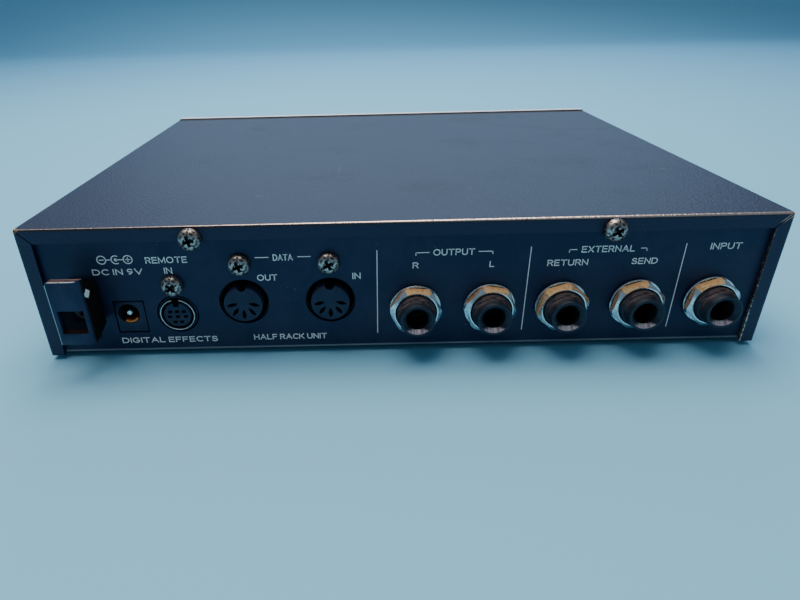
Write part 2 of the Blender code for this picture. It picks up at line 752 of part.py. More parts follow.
def display(clear, metal_case):
    """The window in the front panel and the display module behind it."""
    x0, x1, z0, z1 = WINDOW
    place("display_window", block((x0, FRONT + 0.4 * MM, z0), (x1, FRONT + 2.6 * MM, z1)), clear)
    margin = 3 * MM
    module = block(
        (x0 - margin, FRONT_WALL + GAP, z0 - margin), (x1 + margin, CONTROL_FRONT - GAP, z1 + margin)
    )
    place("display_module", module, metal_case)


def peak_lamp(clear_red):
    """The overload lamp: a light-emitting diode with a domed front."""
    back = CONTROL_FRONT - GAP - FRONT
    dome = [(-0.6 * MM, 0), (-0.4 * MM, LED_R * 0.6), (0.2 * MM, LED_R), (back, LED_R), (back, 0)]
    place("peak_lamp", turned(dome, 16), clear_red, (LED_X, FRONT, LED_Z))


def build():
    for old in list(bpy.data.objects):
        bpy.data.objects.remove(old)
    paint = material("navy_paint", (0.012, 0.026, 0.05), 0.45, 0.2)
    panel = material("anodised_panel", (0.03, 0.035, 0.045), 0.4, 0.3)
    dark = material("black_plastic", (0.012, 0.012, 0.014), 0.45)
    blue = material("socket_plastic", (0.02, 0.03, 0.05), 0.4)
    nickel = material("nickel", (0.72, 0.7, 0.66), 0.25, 1.0)
    steel = material("plated_steel", (0.42, 0.4, 0.37), 0.35, 1.0)
    aluminium = material("aluminium", (0.7, 0.7, 0.72), 0.4, 1.0)
    rubber = material("rubber", (0.02, 0.02, 0.02), 0.8)
    laminate = material("board_green", (0.02, 0.12, 0.05), 0.5)
    grey = material("cable_grey", (0.4, 0.4, 0.42), 0.6)
    clear = material("display_clear", (0.05, 0.09, 0.06), 0.1)
    red = material("lamp_red", (0.5, 0.02, 0.01), 0.2)

    top_cover(paint)
    chassis(paint)
    front_panel(panel)
    feet(rubber)
    screws(steel)
    jack_hardware(nickel)
    jacks(dark)
    data_sockets(blue)
    remote_socket(blue, nickel)
    power_socket(blue, nickel)
    cord_hook(paint)
    main_board(laminate)
    control_board(laminate)
    ribbon_cable(grey)
    board_parts(dark, aluminium, steel)
    knobs(dark, steel, steel)
    keys(dark)
    power_key(dark)
    display(clear, steel)
    peak_lamp(red)


build()
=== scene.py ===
import json
import math

import bmesh
import bpy
from mathutils import Matrix, Vector


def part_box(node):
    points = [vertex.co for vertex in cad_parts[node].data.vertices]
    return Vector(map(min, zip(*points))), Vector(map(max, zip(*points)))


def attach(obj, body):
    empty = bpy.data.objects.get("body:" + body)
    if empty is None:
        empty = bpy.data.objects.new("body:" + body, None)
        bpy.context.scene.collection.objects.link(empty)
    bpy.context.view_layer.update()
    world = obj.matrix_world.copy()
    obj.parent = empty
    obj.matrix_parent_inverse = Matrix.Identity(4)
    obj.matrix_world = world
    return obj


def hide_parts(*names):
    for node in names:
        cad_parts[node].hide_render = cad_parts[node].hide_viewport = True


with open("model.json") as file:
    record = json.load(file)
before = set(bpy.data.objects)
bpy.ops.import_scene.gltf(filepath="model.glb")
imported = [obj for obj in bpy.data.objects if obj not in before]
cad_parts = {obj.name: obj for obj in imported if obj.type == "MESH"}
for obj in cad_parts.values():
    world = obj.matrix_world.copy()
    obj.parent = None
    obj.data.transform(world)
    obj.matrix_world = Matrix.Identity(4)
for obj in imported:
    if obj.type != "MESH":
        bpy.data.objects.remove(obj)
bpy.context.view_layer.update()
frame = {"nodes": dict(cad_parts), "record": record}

MM = 0.001
JACKS = ("output_r", "output_l", "return", "send", "input")

# Landmarks of the frame. The sockets face +Y and the dials face -Y.
COVER_LOW, COVER_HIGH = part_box("top_cover")
CHASSIS_LOW, CHASSIS_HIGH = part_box("chassis")
PANEL_LOW, PANEL_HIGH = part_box("front_panel")
HALF = COVER_HIGH.x
TOP = COVER_HIGH.z
BASE = COVER_LOW.z
REAR = COVER_HIGH.y  # outer face of the cover's rear flanges
WALL = CHASSIS_HIGH.y  # outer face of the rear wall
FRONT = PANEL_LOW.y


def middle(node):
    low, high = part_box(node)
    return (low + high) / 2


# Camera, floor and light


def make_camera():
    data = bpy.data.cameras.new("camera")
    data.sensor_width = 36
    data.lens = 24.97
    data.shift_x = 0.0489
    data.shift_y = -0.0249
    data.clip_start = 0.005
    camera = bpy.data.objects.new("camera", data)
    bpy.context.scene.collection.objects.link(camera)
    place = Vector((10.7 * MM, REAR + 143.65 * MM, BASE + 95.36 * MM))
    turn = Matrix.Rotation(math.radians(180.417), 4, "Z")
    tilt = Matrix.Rotation(math.radians(90 - 26.5), 4, "X")
    roll = Matrix.Rotation(math.radians(-1.452), 4, "Z")
    camera.matrix_world = Matrix.Translation(place) @ turn @ tilt @ roll
    bpy.context.scene.camera = camera


def area_light(name, place, target, size, watts, colour):
    data = bpy.data.lights.new(name, "AREA")
    data.shape = "RECTANGLE"
    data.size, data.size_y = size
    data.energy = watts
    data.color = colour
    light = bpy.data.objects.new(name, data)
    bpy.context.scene.collection.objects.link(light)
    place = Vector(place)
    light.location = place
    light.rotation_euler = (Vector(target) - place).to_track_quat("-Z", "Y").to_euler()


def make_studio():
    world = bpy.data.worlds.new("studio")
    bpy.context.scene.world = world
    world.use_nodes = True
    background = world.node_tree.nodes["Background"]
    background.inputs["Color"].default_value = (0.62, 0.82, 1.0, 1)
    background.inputs["Strength"].default_value = 0.22
    area_light("overhead", (0.1, -0.12, 0.9), (0, 0, 0), (0.9, 0.7), 12, (1.0, 0.90, 0.80))
    area_light("behind", (-0.1, -1.1, 0.75), (0, 0, 0), (1.6, 0.7), 8, (0.55, 0.80, 1.0))
    outline = [(2.5, 0.0), (-1.2, 0.0)]
    for step in range(1, 13):
        angle = math.radians(90 * step / 12)
        outline.append((-1.2 - 0.6 * math.sin(angle), 0.6 - 0.6 * math.cos(angle)))
    outline.append((-1.8, 2.0))
    corners, faces = [], []
    for y, z in outline:
        corners += [(-3, y, z), (3, y, z)]
    for k in range(len(outline) - 1):
        faces.append((2 * k, 2 * k + 1, 2 * k + 3, 2 * k + 2))
    mesh = bpy.data.meshes.new("sweep")
    mesh.from_pydata(corners, [], faces)
    mesh.shade_smooth()
    sweep = bpy.data.objects.new("sweep", mesh)
    bpy.context.scene.collection.objects.link(sweep)
    finish = Finish("sweep_blue", (0.22, 0.58, 0.84), 0.8)
    finish.mottle(3, 0.03)
    mesh.materials.append(FINISHES["sweep_blue"])


# Materials


FINISHES = {}  # every procedural material, by name


class Finish:
    """A procedural material. Its patterns are laid out in metres, in each object's own space."""

    def __init__(self, name, colour, roughness, metallic=0.0):
        material = bpy.data.materials.new(name)
        material.use_nodes = True
        FINISHES[name] = material
        self.tree = material.node_tree
        self.shader = self.tree.nodes["Principled BSDF"]
        self.shader.inputs["Metallic"].default_value = metallic
        self.shader.inputs["Roughness"].default_value = roughness
        self.shader.inputs["Base Color"].default_value = (*colour, 1)
        self.roughness = roughness
        self.colour = colour
        self.place = self.tree.nodes.new("ShaderNodeTexCoord").outputs["Object"]
        self.colour_out = None
        self.rough_out = None
        self.metal_out = None
        self.normal_out = None

    def link(self, source, target):
        self.tree.links.new(source, target)

    def math(self, operation, first, second=0.0):
        node = self.tree.nodes.new("ShaderNodeMath")
        node.operation = operation
        for socket, value in zip(node.inputs, (first, second)):
            if isinstance(value, (int, float)):
                socket.default_value = value
            else:
                self.link(value, socket)
        return node.outputs[0]

    def off(self, value, centre):
        """How far one value is from another."""
        return self.math("ABSOLUTE", self.math("SUBTRACT", value, centre))

    def axes(self):
        """The x, y and z of the shaded point."""
        node = self.tree.nodes.new("ShaderNodeSeparateXYZ")
        self.link(self.place, node.inputs[0])
        return node.outputs

    def stretched(self, scale):
        node = self.tree.nodes.new("ShaderNodeMapping")
        node.inputs["Scale"].default_value = scale
        self.link(self.place, node.inputs["Vector"])
        return node.outputs[0]

    def noise(self, size, detail=2.0, roughness=0.5, stretch=None):
        """Noise whose lumps are about this many metres across."""
        node = self.tree.nodes.new("ShaderNodeTexNoise")
        node.inputs["Scale"].default_value = 1 / size
        node.inputs["Detail"].default_value = detail
        node.inputs["Roughness"].default_value = roughness
        self.link(self.stretched(stretch) if stretch else self.place, node.inputs["Vector"])
        return node.outputs["Fac"]

    def cells(self, size, feature="F1"):
        node = self.tree.nodes.new("ShaderNodeTexVoronoi")
        node.feature = feature
        node.inputs["Scale"].default_value = 1 / size
        self.link(self.place, node.inputs["Vector"])
        return node.outputs["Distance"]

    def ramp(self, value, low, high, start=0.0, end=1.0):
        """Smoothly maps low..high to start..end."""
        node = self.tree.nodes.new("ShaderNodeMapRange")
        node.interpolation_type = "SMOOTHSTEP"
        for name, number in (("From Min", low), ("From Max", high), ("To Min", start), ("To Max", end)):
            node.inputs[name].default_value = number
        self.link(value, node.inputs["Value"])
        return node.outputs["Result"]

    def where(self, *bounds):
        """A mask that is 1 where all the bounds hold. Each bound is a mask, or a value with a level, how
        many millimetres past the level it starts and is complete, and the mask's two ends if not 0 and 1."""
        result = None
        for bound in bounds:
            if isinstance(bound, tuple):
                value, level, start, full, *ends = bound
                bound = self.ramp(value, level + start * MM, level + full * MM, *ends)
            result = bound if result is None else self.math("MULTIPLY", result, bound)
        return result

    def mix(self, mask, colour):
        """Lays a colour over what is there, where the mask is 1."""
        node = self.tree.nodes.new("ShaderNodeMix")
        node.data_type = "RGBA"
        if self.colour_out is None:
            node.inputs[6].default_value = (*self.colour, 1)
        else:
            self.link(self.colour_out, node.inputs[6])
        node.inputs[7].default_value = (*colour, 1)
        self.link(mask, node.inputs[0])
        self.colour_out = node.outputs[2]
        self.link(self.colour_out, self.shader.inputs["Base Color"])

    def blend_number(self, socket, current, base, mask, value):
        node = self.tree.nodes.new("ShaderNodeMix")
        node.data_type = "FLOAT"
        if current is None:
            node.inputs[2].default_value = base
        else:
            self.link(current, node.inputs[2])
        node.inputs[3].default_value = value
        self.link(mask, node.inputs[0])
        self.link(node.outputs[0], self.shader.inputs[socket])
        return node.outputs[0]

    def rough(self, mask, value):
        self.rough_out = self.blend_number("Roughness", self.rough_out, self.roughness, mask, value)

    def bare(self, mask, colour, roughness):
        """Bare metal where the mask is 1."""
        self.mix(mask, colour)
        self.rough(mask, roughness)
        base = self.shader.inputs["Metallic"].default_value
        self.metal_out = self.blend_number("Metallic", self.metal_out, base, mask, 1.0)

    def bump(self, height, depth):
        """Relief of this depth in metres, on top of any relief already there."""
        node = self.tree.nodes.new("ShaderNodeBump")
        node.inputs["Distance"].default_value = depth
        self.link(height, node.inputs["Height"])
        if self.normal_out is not None:
            self.link(self.normal_out, node.inputs["Normal"])
        self.normal_out = node.outputs[0]
        self.link(self.normal_out, self.shader.inputs["Normal"])

    def tinted(self, colour, level=0.5):
        """Colours the sheen. A bluish tint is a painted reflection colour that stands in for the blue
        surroundings the sheen reflects.
        """
        self.shader.inputs["Specular Tint"].default_value = (*colour, 1)
        self.shader.inputs["Specular IOR Level"].default_value = level

    def dull(self, mask, level=0.08):
        """Takes the sheen away where the mask is 1."""
        base = self.shader.inputs["Specular IOR Level"].default_value
        self.blend_number("Specular IOR Level", None, base, mask, level)

    def mottle(self, size, amount):
        """Slow drifts of tone and gloss."""
        light = tuple(min(1.0, part * (1 + amount) + amount * 0.05) for part in self.colour)
        patches = self.ramp(self.noise(size, 4, 0.6), 0.35, 0.7)
        self.mix(patches, light)
        self.rough(patches, min(1.0, self.roughness * (1 + amount)))

    def scratches(self, colour, amount):
        """Sparse fine scratches along two directions."""
        length, width = 60 * MM, 0.35 * MM
        for axis in (0, 1):
            stretch = [1 / width] * 3
            stretch[axis] = 1 / length
            lines = self.noise(1.0, 1, 0.4, stretch)
            patches = self.ramp(self.noise(25 * MM, 2), 0.55, 0.7)
            self.mix(self.where(self.ramp(lines, 0.76, 0.8, 0, amount), patches), colour)


NAVY = (0.0060, 0.0105, 0.036)
SLATE = (0.012, 0.015, 0.042)
BARE = (0.80, 0.62, 0.56)
COPPER = (0.50, 0.25, 0.12)
RUST = (0.020, 0.011, 0.008)
DUST = (0.20, 0.22, 0.24)
STAIN = (0.08, 0.06, 0.045)


def leather_grain(finish, size, depth):
    """The raised pebble of textured powder paint."""
    pebble = finish.cells(size, "SMOOTH_F1")
    fine = finish.noise(size * 0.35, 2)
    finish.bump(finish.math("ADD", pebble, finish.math("MULTIPLY", fine, 0.4)), depth)


def cover_finish():
    finish = Finish("cover_paint", SLATE, 0.5)
    finish.tinted((0.66, 0.76, 1.0))
    leather_grain(finish, 0.75 * MM, 0.10 * MM)
    smudges = finish.ramp(finish.noise(34 * MM, 5, 0.65), 0.5, 0.75)
    finish.mix(finish.math("MULTIPLY", smudges, 0.45), (0.022, 0.040, 0.062))
    finish.rough(smudges, 0.6)
    x, y, z = finish.axes()
    side = finish.math("ABSOLUTE", x)
    finish.mix(finish.ramp(finish.noise(9 * MM, 5, 0.7), 0.64, 0.8, 0, 0.3), DUST)
    finish.scratches((0.16, 0.18, 0.2), 0.5)
    broken = finish.ramp(finish.noise(2.2 * MM, 4, 0.7), 0.26, 0.42)
    finish.mix(finish.where((y, REAR, -0.35, -0.15), (z, TOP, -1.3, -0.6, 0, 0.85)), RUST)
    wide = finish.ramp(x, 90 * MM, -60 * MM, 0, 0.3 * MM)
    rear_edge = finish.where(
        (finish.math("ADD", y, wide), REAR, -0.35, -0.2),
        (finish.math("ADD", z, wide), TOP, -0.3, -0.15),
        (x, 0, 10, 100, 1.0, 0.6),
    )
    wavy = finish.ramp(finish.noise(7 * MM, 4, 0.7), 0.42, 0.6)
    side_edge = finish.where((side, HALF, -0.6, -0.3), (z, TOP, -0.6, -0.3), wavy)
    for edge in (rear_edge, side_edge):
        finish.bare(finish.where(edge, broken), BARE, 0.3)
    blotches = finish.ramp(finish.noise(1.3 * MM, 3, 0.6), 0.48, 0.6)
    corner = finish.where((side, HALF, -3.2, -0.6), (z, TOP, -3.2, -0.6), (y, REAR, -1.2, -0.7), blotches)
    finish.bare(corner, COPPER, 0.45)
    fold = (finish.off(side, HALF - 4.2 * MM), 0, 0.45, 0.3)
    flakes = finish.where(fold, (x, 0, 0, -1), (y, REAR, -1.5, -0.9), (z, TOP, -4.6, -5))
    finish.mix(flakes, (0.045, 0.030, 0.022))
    low_down = finish.ramp(z, BASE + 22 * MM, BASE + 6 * MM, 0, 0.17)
    dots = finish.ramp(finish.math("ADD", finish.noise(0.8 * MM, 2, 0.5), low_down), 0.61, 0.66)
    finish.bare(finish.where(flakes, dots), (0.62, 0.52, 0.44), 0.45)
    mitre = finish.off(finish.math("ADD", side, TOP - HALF), z)
    lips = (finish.off(mitre, 0.45 * MM), 0, 0.22, 0.12)
    chipped = finish.where(lips, (y, REAR, -0.4, -0.2), (z, TOP, -3.4, -2.2), (x, 0, 0, -1), broken)
    finish.bare(chipped, (0.66, 0.36, 0.26), 0.4)
    # Painted shadow: a dark brown, sheenless band along the top's front edge, under the raised edge of the
    # front panel.
    front = finish.where((y, COVER_LOW.y, 3.6, 2.8), (z, TOP, -1, -0.5))
    finish.mix(front, (0.020, 0.010, 0.009))
    finish.dull(front, 0.15)


def rear_finish():
    finish = Finish("chassis_paint", NAVY, 0.42)
    finish.tinted((0.56, 0.70, 1.0), 0.42)
    leather_grain(finish, 0.35 * MM, 0.02 * MM)
    finish.mottle(18 * MM, 0.25)
    x, y, z = finish.axes()
    specks = finish.ramp(finish.cells(2.6 * MM), 0.085, 0.05)
    patches = finish.ramp(finish.noise(14 * MM, 2), 0.55, 0.66)
    finish.mix(finish.where(specks, patches), (0.16, 0.19, 0.22))
    # Painted shade: a near-black, sheenless patch on the panel behind the cord hook, where the hook's channel
    # shades it.
    screw = middle("cord_hook_screw")
    across, upright = finish.off(x, screw.x + 5 * MM), finish.off(z, screw.z - 4 * MM)
    painted_shade_behind_hook = finish.where((across, 0, 6.4, 5.6), (upright, 0, 9, 7))
    finish.mix(painted_shade_behind_hook, (0.004, 0.003, 0.003))
    finish.dull(painted_shade_behind_hook)
    # Painted highlight: a lighter grey line along the rear wall's bottom bend, where the rounded bend catches
    # light.
    bend_highlight = finish.where((z, CHASSIS_LOW.z, 0.75, 0.35), (y, WALL, -0.9, -0.5))
    finish.mix(bend_highlight, (0.22, 0.24, 0.27))


def hook_finish():
    """Navy paint, rubbed to bright metal along the outer plate's edges. Painted shade makes everything behind
    the outer plate near black, the side wall included, and the wall has rusty patches.
    """
    low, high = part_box("cord_hook")
    plate = high.y - HOOK_T  # inner face of the outer plate
    finish = Finish("hook_paint", NAVY, 0.36)
    finish.tinted((0.56, 0.70, 1.0), 0.45)
    leather_grain(finish, 0.35 * MM, 0.02 * MM)
    finish.mottle(8 * MM, 0.3)
    x, y, z = finish.axes()
    patches = finish.ramp(finish.noise(1.8 * MM, 4, 0.7), 0.35, 0.6, 0.35, 0.95)
    wall = finish.where((x, low.x, 1.0, 0.8))
    # Painted shade: everything from the middle of the outer plate's thickness inward, the inside of the
    # channel and the side wall, is near black, rough and sheenless.
    behind = finish.ramp(y, high.y - HOOK_T * 0.4, plate)
    finish.mix(behind, (0.003, 0.003, 0.004))
    finish.rough(behind, 0.8)
    finish.mix(finish.where(wall, behind, patches), (0.016, 0.009, 0.007))
    window = middle("cord_hook_screw")
    across = (finish.off(x, window.x), 0, 3.8, 3.5)
    sill = finish.where((z, window.z, -3.3, -3.45), (z, window.z, -3.9, -3.6), (y, plate, -0.2, 0), across)
    finish.mix(sill, (0.018, 0.010, 0.008))
    finish.dull(finish.math("MAXIMUM", behind, sill))
    finish.mix(finish.where((z, high.z, -0.05, -0.02), patches), (0.09, 0.045, 0.035))
    broken = finish.ramp(finish.noise(2.5 * MM, 3, 0.6), 0.24, 0.36)
    front = finish.where((y, high.y, -0.42, -0.3))
    back = finish.where((y, plate, 0.45, 0.3), (y, plate, -0.3, -0.1))
    for face, lip in ((front, (z, high.z, -0.32, -0.2)), (back, (z, high.z, -0.12, -0.06))):
        finish.bare(finish.where(face, lip, broken), BARE, 0.28)
    finish.bare(finish.where(front, (x, high.x, -0.32, -0.2), broken), (0.55, 0.55, 0.55), 0.35)
    chip_y = finish.math("MULTIPLY", finish.off(y, REAR + 7.3 * MM), 1.3)
    chip_z = finish.math("MULTIPLY", finish.off(z, BASE + 25.1 * MM), 1.6)
    uneven = finish.math("MULTIPLY", finish.noise(1 * MM, 2), 1.2 * MM)
    chip = finish.math("ADD", finish.math("ADD", chip_y, chip_z), uneven)
    finish.mix(finish.where((chip, 0, 3.0, 2.75), wall), (0.90, 0.87, 0.84))


def plated(name, colour, roughness, dirt=0.5, dirt_colour=STAIN, metallic=1.0, clear=0.52):
    """Plated metal with stains. They lie where the noise is above the clear level."""
    finish = Finish(name, colour, roughness, metallic)
    finish.mottle(1.2 * MM, 0.15)
    stain = finish.ramp(finish.noise(0.9 * MM, 4, 0.65), clear, 1.2 * clear, 0, dirt)
    finish.mix(stain, dirt_colour)
    finish.rough(stain, min(1.0, roughness + 0.3))
    finish.bump(finish.noise(0.5 * MM, 2), 0.01 * MM)


def moulded(name, colour, roughness, grain=0.25 * MM, dust=0.0, tint=(1, 1, 1)):
    finish = Finish(name, colour, roughness)
    finish.tinted(tint)
    finish.mottle(6 * MM, 0.2)
    if dust:
        patches = finish.ramp(finish.noise(1.1 * MM, 4, 0.7), 0.45, 0.7, 0, dust)
        finish.mix(patches, (0.12, 0.09, 0.07))
        finish.rough(patches, 0.75)
    finish.bump(finish.noise(grain, 2), 0.012 * MM)


def brushed(name, colour, roughness, metallic, stretch):
    """Metal or anodised metal with a grain along one axis."""
    finish = Finish(name, colour, roughness, metallic)
    grain = finish.noise(0.25 * MM, 2, 0.5, stretch)
    finish.mix(finish.ramp(grain, 0.35, 0.7, 0, 0.5), tuple(min(1, part * 1.5) for part in colour))
    finish.rough(grain, roughness + 0.1)
    finish.bump(grain, 0.004 * MM)
    return finish


def barrel_finish():
    """Black plastic with brown dust in the upper side of the threads. The mouth is at the origin."""
    finish = Finish("barrel_plastic", (0.006, 0.009, 0.018), 0.45)
    finish.tinted((0.66, 0.80, 1.0))
    finish.mottle(4 * MM, 0.2)
    x, y, z = finish.axes()
    squares = finish.math("ADD", finish.math("MULTIPLY", x, x), finish.math("MULTIPLY", z, z))
    reach = finish.math("SQRT", squares)
    streaks = finish.ramp(finish.noise(1.0, 4, 0.75, (420, 2200, 420)), 0.44, 0.60)
    dust = finish.where((reach, 0, 5.15, 5.3), (z, 0, -1, 3.5), streaks)
    finish.mix(dust, (0.135, 0.088, 0.078))
    finish.rough(dust, 0.7)


def mouth_finish():
    """The countersink of a jack: dark, with a painted highlight at the bottom, streaky pinkish bright metal
    that stands in for the overhead light's reflection.
    """
    finish = Finish("mouth_gloss", (0.008, 0.012, 0.022), 0.4)
    finish.tinted((0.66, 0.80, 1.0))
    x, y, z = finish.axes()
    # Painted highlight: streaky pinkish bright metal on the bottom of the countersink, in place of the
    # reflected overhead light.
    bars = finish.ramp(finish.noise(1.0, 2, 0.5, (1400, 100, 200)), 0.35, 0.55, 0.35, 1.0)
    finish.bare(finish.where((z, 0, -2.7, -3.5), bars), (0.95, 0.74, 0.78), 0.34)


def print_finish():
    finish = Finish("print", (1.0, 0.91, 0.86), 0.5)
    finish.mix(finish.ramp(finish.noise(0.5 * MM, 3, 0.7), 0.62, 0.76, 0, 0.7), NAVY)


def laminate_finish():
    finish = Finish("laminate", (0.015, 0.09, 0.04), 0.35)
    tracks = finish.ramp(finish.noise(3 * MM, 0, 0.5, (1, 6, 1)), 0.5, 0.52)
    finish.mix(finish.math("MULTIPLY", tracks, 0.6), (0.03, 0.16, 0.07))
    finish.bump(tracks, 0.03 * MM)


def panel_finish():
    """Dark anodised metal with bare light edges."""
    finish = brushed("panel_finish", (0.022, 0.026, 0.034), 0.38, 0.4, (1, 30, 30))
    x, y, z = finish.axes()
    top = finish.where((z, PANEL_HIGH.z, -0.5, -0.3))
    side = finish.where((finish.math("ABSOLUTE", x), HALF, -0.3, -0.15))
    finish.bare(finish.math("MAXIMUM", top, side), (0.86, 0.80, 0.76), 0.5)


def clear_finish(name, colour, roughness, mottle, inputs):
    """Clear or glowing plastic. The inputs are the shader's own, by name."""
    finish = Finish(name, colour, roughness)
    finish.mottle(*mottle)
    for key, value in inputs.items():
        finish.shader.inputs[key].default_value = value


def make_finishes():
    cover_finish()
    rear_finish()
    hook_finish()
    panel_finish()
    barrel_finish()
    mouth_finish()
    print_finish()
    laminate_finish()
    # The nickel's cyan tint is a painted reflection colour, standing in for the blue surroundings it
    # reflects.
    plated("nickel", (0.68, 0.79, 0.83), 0.24, 0.25, (0.3, 0.2, 0.12))
    plated("brass", (1.0, 0.55, 0.25), 0.5, 0.6, (0.50, 0.22, 0.10), 0.1)
    plated("dull_brass", (0.52, 0.30, 0.17), 0.5, 0.7, (0.20, 0.11, 0.07), 0.1)
    plated("sleeve_metal", (0.86, 0.68, 0.64), 0.3, 0.3, (0.3, 0.2, 0.15))
    plated("plated_steel", (0.46, 0.42, 0.39), 0.34, 0.95, (0.04, 0.03, 0.027), clear=0.47)
    plated("module_steel", (0.6, 0.6, 0.6), 0.35, 0.2)
    plated("copper", (0.80, 0.22, 0.05), 0.5, 0.4)
    brushed("aluminium", (0.7, 0.7, 0.72), 0.35, 1.0, (30, 30, 1))
    brushed("cable_grey", (0.35, 0.35, 0.37), 0.55, 0.0, (12, 1, 1))
    moulded("recess_dirt", (0.010, 0.008, 0.008), 0.8)
    moulded("black_plastic", (0.012, 0.012, 0.014), 0.42)
    moulded("socket_plastic", (0.008, 0.012, 0.030), 0.42, tint=(0.56, 0.70, 1.0))
    moulded("socket_dark", (0.003, 0.003, 0.004), 0.6)
    moulded("foot_rubber", (0.015, 0.015, 0.016), 0.85, 0.4 * MM, 0.3)
    moulded("key_grey", (0.05, 0.055, 0.062), 0.45)
    moulded("lcd_green", (0.18, 0.24, 0.05), 0.3)
    moulded("lcd_ink", (0.01, 0.015, 0.02), 0.4)
    moulded("led_unlit", (0.06, 0.015, 0.012), 0.4)
    smoked = {"Transmission Weight": 0.85, "IOR": 1.45}
    clear_finish("display_clear", (0.02, 0.03, 0.025), 0.08, (20 * MM, 0.3), smoked)
    clear_finish("lamp_red", (0.45, 0.01, 0.01), 0.15, (1 * MM, 0.2), {"Transmission Weight": 0.4})
    glow = {"Emission Color": (1, 0.08, 0.03, 1), "Emission Strength": 5.0}
    clear_finish("led_lit", (0.8, 0.05, 0.02), 0.3, (1 * MM, 0.1), glow)


# Mesh tools


def new_piece(name, shape, finishes, body="case", stands_for=(), place=None):
    """A visible piece in its place, riding on a body. Its finishes are given by name."""
    mesh = to_mesh(shape) if isinstance(shape, bmesh.types.BMesh) else shape
    piece = bpy.data.objects.new(name, mesh)
    bpy.context.scene.collection.objects.link(piece)
    if place is not None:
        piece.matrix_world = place
    for finish in finishes:
        mesh.materials.append(FINISHES[finish])
    mesh.shade_smooth()
    mesh.set_sharp_from_angle(angle=math.radians(32))
    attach(piece, body)
    if stands_for:
        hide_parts(*stands_for)
    return piece


def to_mesh(shape):
    bmesh.ops.recalc_face_normals(shape, faces=shape.faces)
    mesh = bpy.data.meshes.new("shape")
    shape.to_mesh(mesh)
    shape.free()
    return mesh


def add_ring(shape, centre, radii, shift=0.0):
    """A ring of points about the Y axis, one for each radius."""
    ring = []
    for step, radius in enumerate(radii):
        angle = math.tau * (step + shift) / len(radii)
        spot = (centre[0] + radius * math.sin(angle), centre[1], centre[2] + radius * math.cos(angle))
        ring.append(shape.verts.new(spot))
    return ring


def add_rings(shape, profile, segments=96, centre=(0, 0, 0)):
    """Turns (along Y, radius) points about the Y axis. A profile with both ends off the axis is closed."""
    cx, cy, cz = centre
    rings = []
    for along, radius in profile:
        if radius:
            rings.append(add_ring(shape, (cx, cy + along, cz), [radius] * segments, 0.5))
        else:
            rings.append([shape.verts.new((cx, cy + along, cz))] * segments)
    closed = profile[0][1] > 0 and profile[-1][1] > 0
    for first, second in zip(rings, rings[1:] + rings[:1] if closed else rings[1:]):
        for step in range(segments):
            corners = [first[step], first[step - 1], second[step - 1], second[step]]
            corners = list(dict.fromkeys(corners))
            if len(corners) > 2:
                shape.faces.new(corners)
    return shape


def add_block(shape, low, high, bevel=0.0):
    made = bmesh.ops.create_cube(shape, size=1)["verts"]
    low, high = Vector(low), Vector(high)
    for vertex in made:
        vertex.co = Vector(low[k] if vertex.co[k] < 0 else high[k] for k in range(3))
    if bevel:
        edges = set(edge for vertex in made for edge in vertex.link_edges)
        bmesh.ops.bevel(shape, geom=list(edges), offset=bevel, segments=2, profile=0.5, affect="EDGES",
                        material=-1)
    return shape


def add_slab(shape, outline, low, high, axis=1):
    """An outline in the two axes other than the given one, with a thickness along it."""
    corners = []
    for a, b in outline:
        point = [a, b]
        point.insert(axis, low)
        corners.append(shape.verts.new(point))
    made = bmesh.ops.extrude_face_region(shape, geom=[shape.faces.new(corners)])["geom"]
    travel = Vector((0, 0, 0))
    travel[axis] = high - low
    bmesh.ops.translate(shape, vec=travel, verts=[v for v in made if isinstance(v, bmesh.types.BMVert)])
    return shape


def carved(base, cuts):
    """The base shape's mesh with the other shapes cut from it."""
    body = bpy.data.objects.new("carve_base", to_mesh(base))
    bpy.context.scene.collection.objects.link(body)
    helpers = [body]
    for cut in cuts:
        helper = bpy.data.objects.new("carve_tool", to_mesh(cut))
        bpy.context.scene.collection.objects.link(helper)
        helpers.append(helper)
        modifier = body.modifiers.new("carve", "BOOLEAN")
        modifier.operation = "DIFFERENCE"
        modifier.object = helper
    bpy.context.view_layer.update()
    graph = bpy.context.evaluated_depsgraph_get()
    mesh = bpy.data.meshes.new_from_object(body.evaluated_get(graph))
    for helper in helpers:
        bpy.data.objects.remove(helper)
    return mesh


def add_mesh(shape, mesh, place=None):
    """Adds a mesh to the shape, moved to its place."""
    before = len(shape.verts)
    shape.from_mesh(mesh)
    shape.verts.ensure_lookup_table()
    if place is not None:
        bmesh.ops.transform(shape, matrix=place, verts=shape.verts[before:])
    return shape


# Print


PRINT_T = 0.03 * MM
FACES_REAR = Matrix(((-1, 0, 0), (0, 0, 1), (0, 1, 0))).to_4x4()
FACES_FRONT = Matrix(((1, 0, 0), (0, 0, -1), (0, 1, 0))).to_4x4()


def curve(cx, cy, rx, ry, start, end):
    """Points along part of an ellipse, with its angles measured from +X towards +Y."""
    steps = max(3, round(abs(end - start) / 18))
    points = []
    for step in range(steps + 1):
        angle = math.radians(start + (end - start) * step / steps)
        points.append((cx + rx * math.cos(angle), cy + ry * math.sin(angle)))
    return points


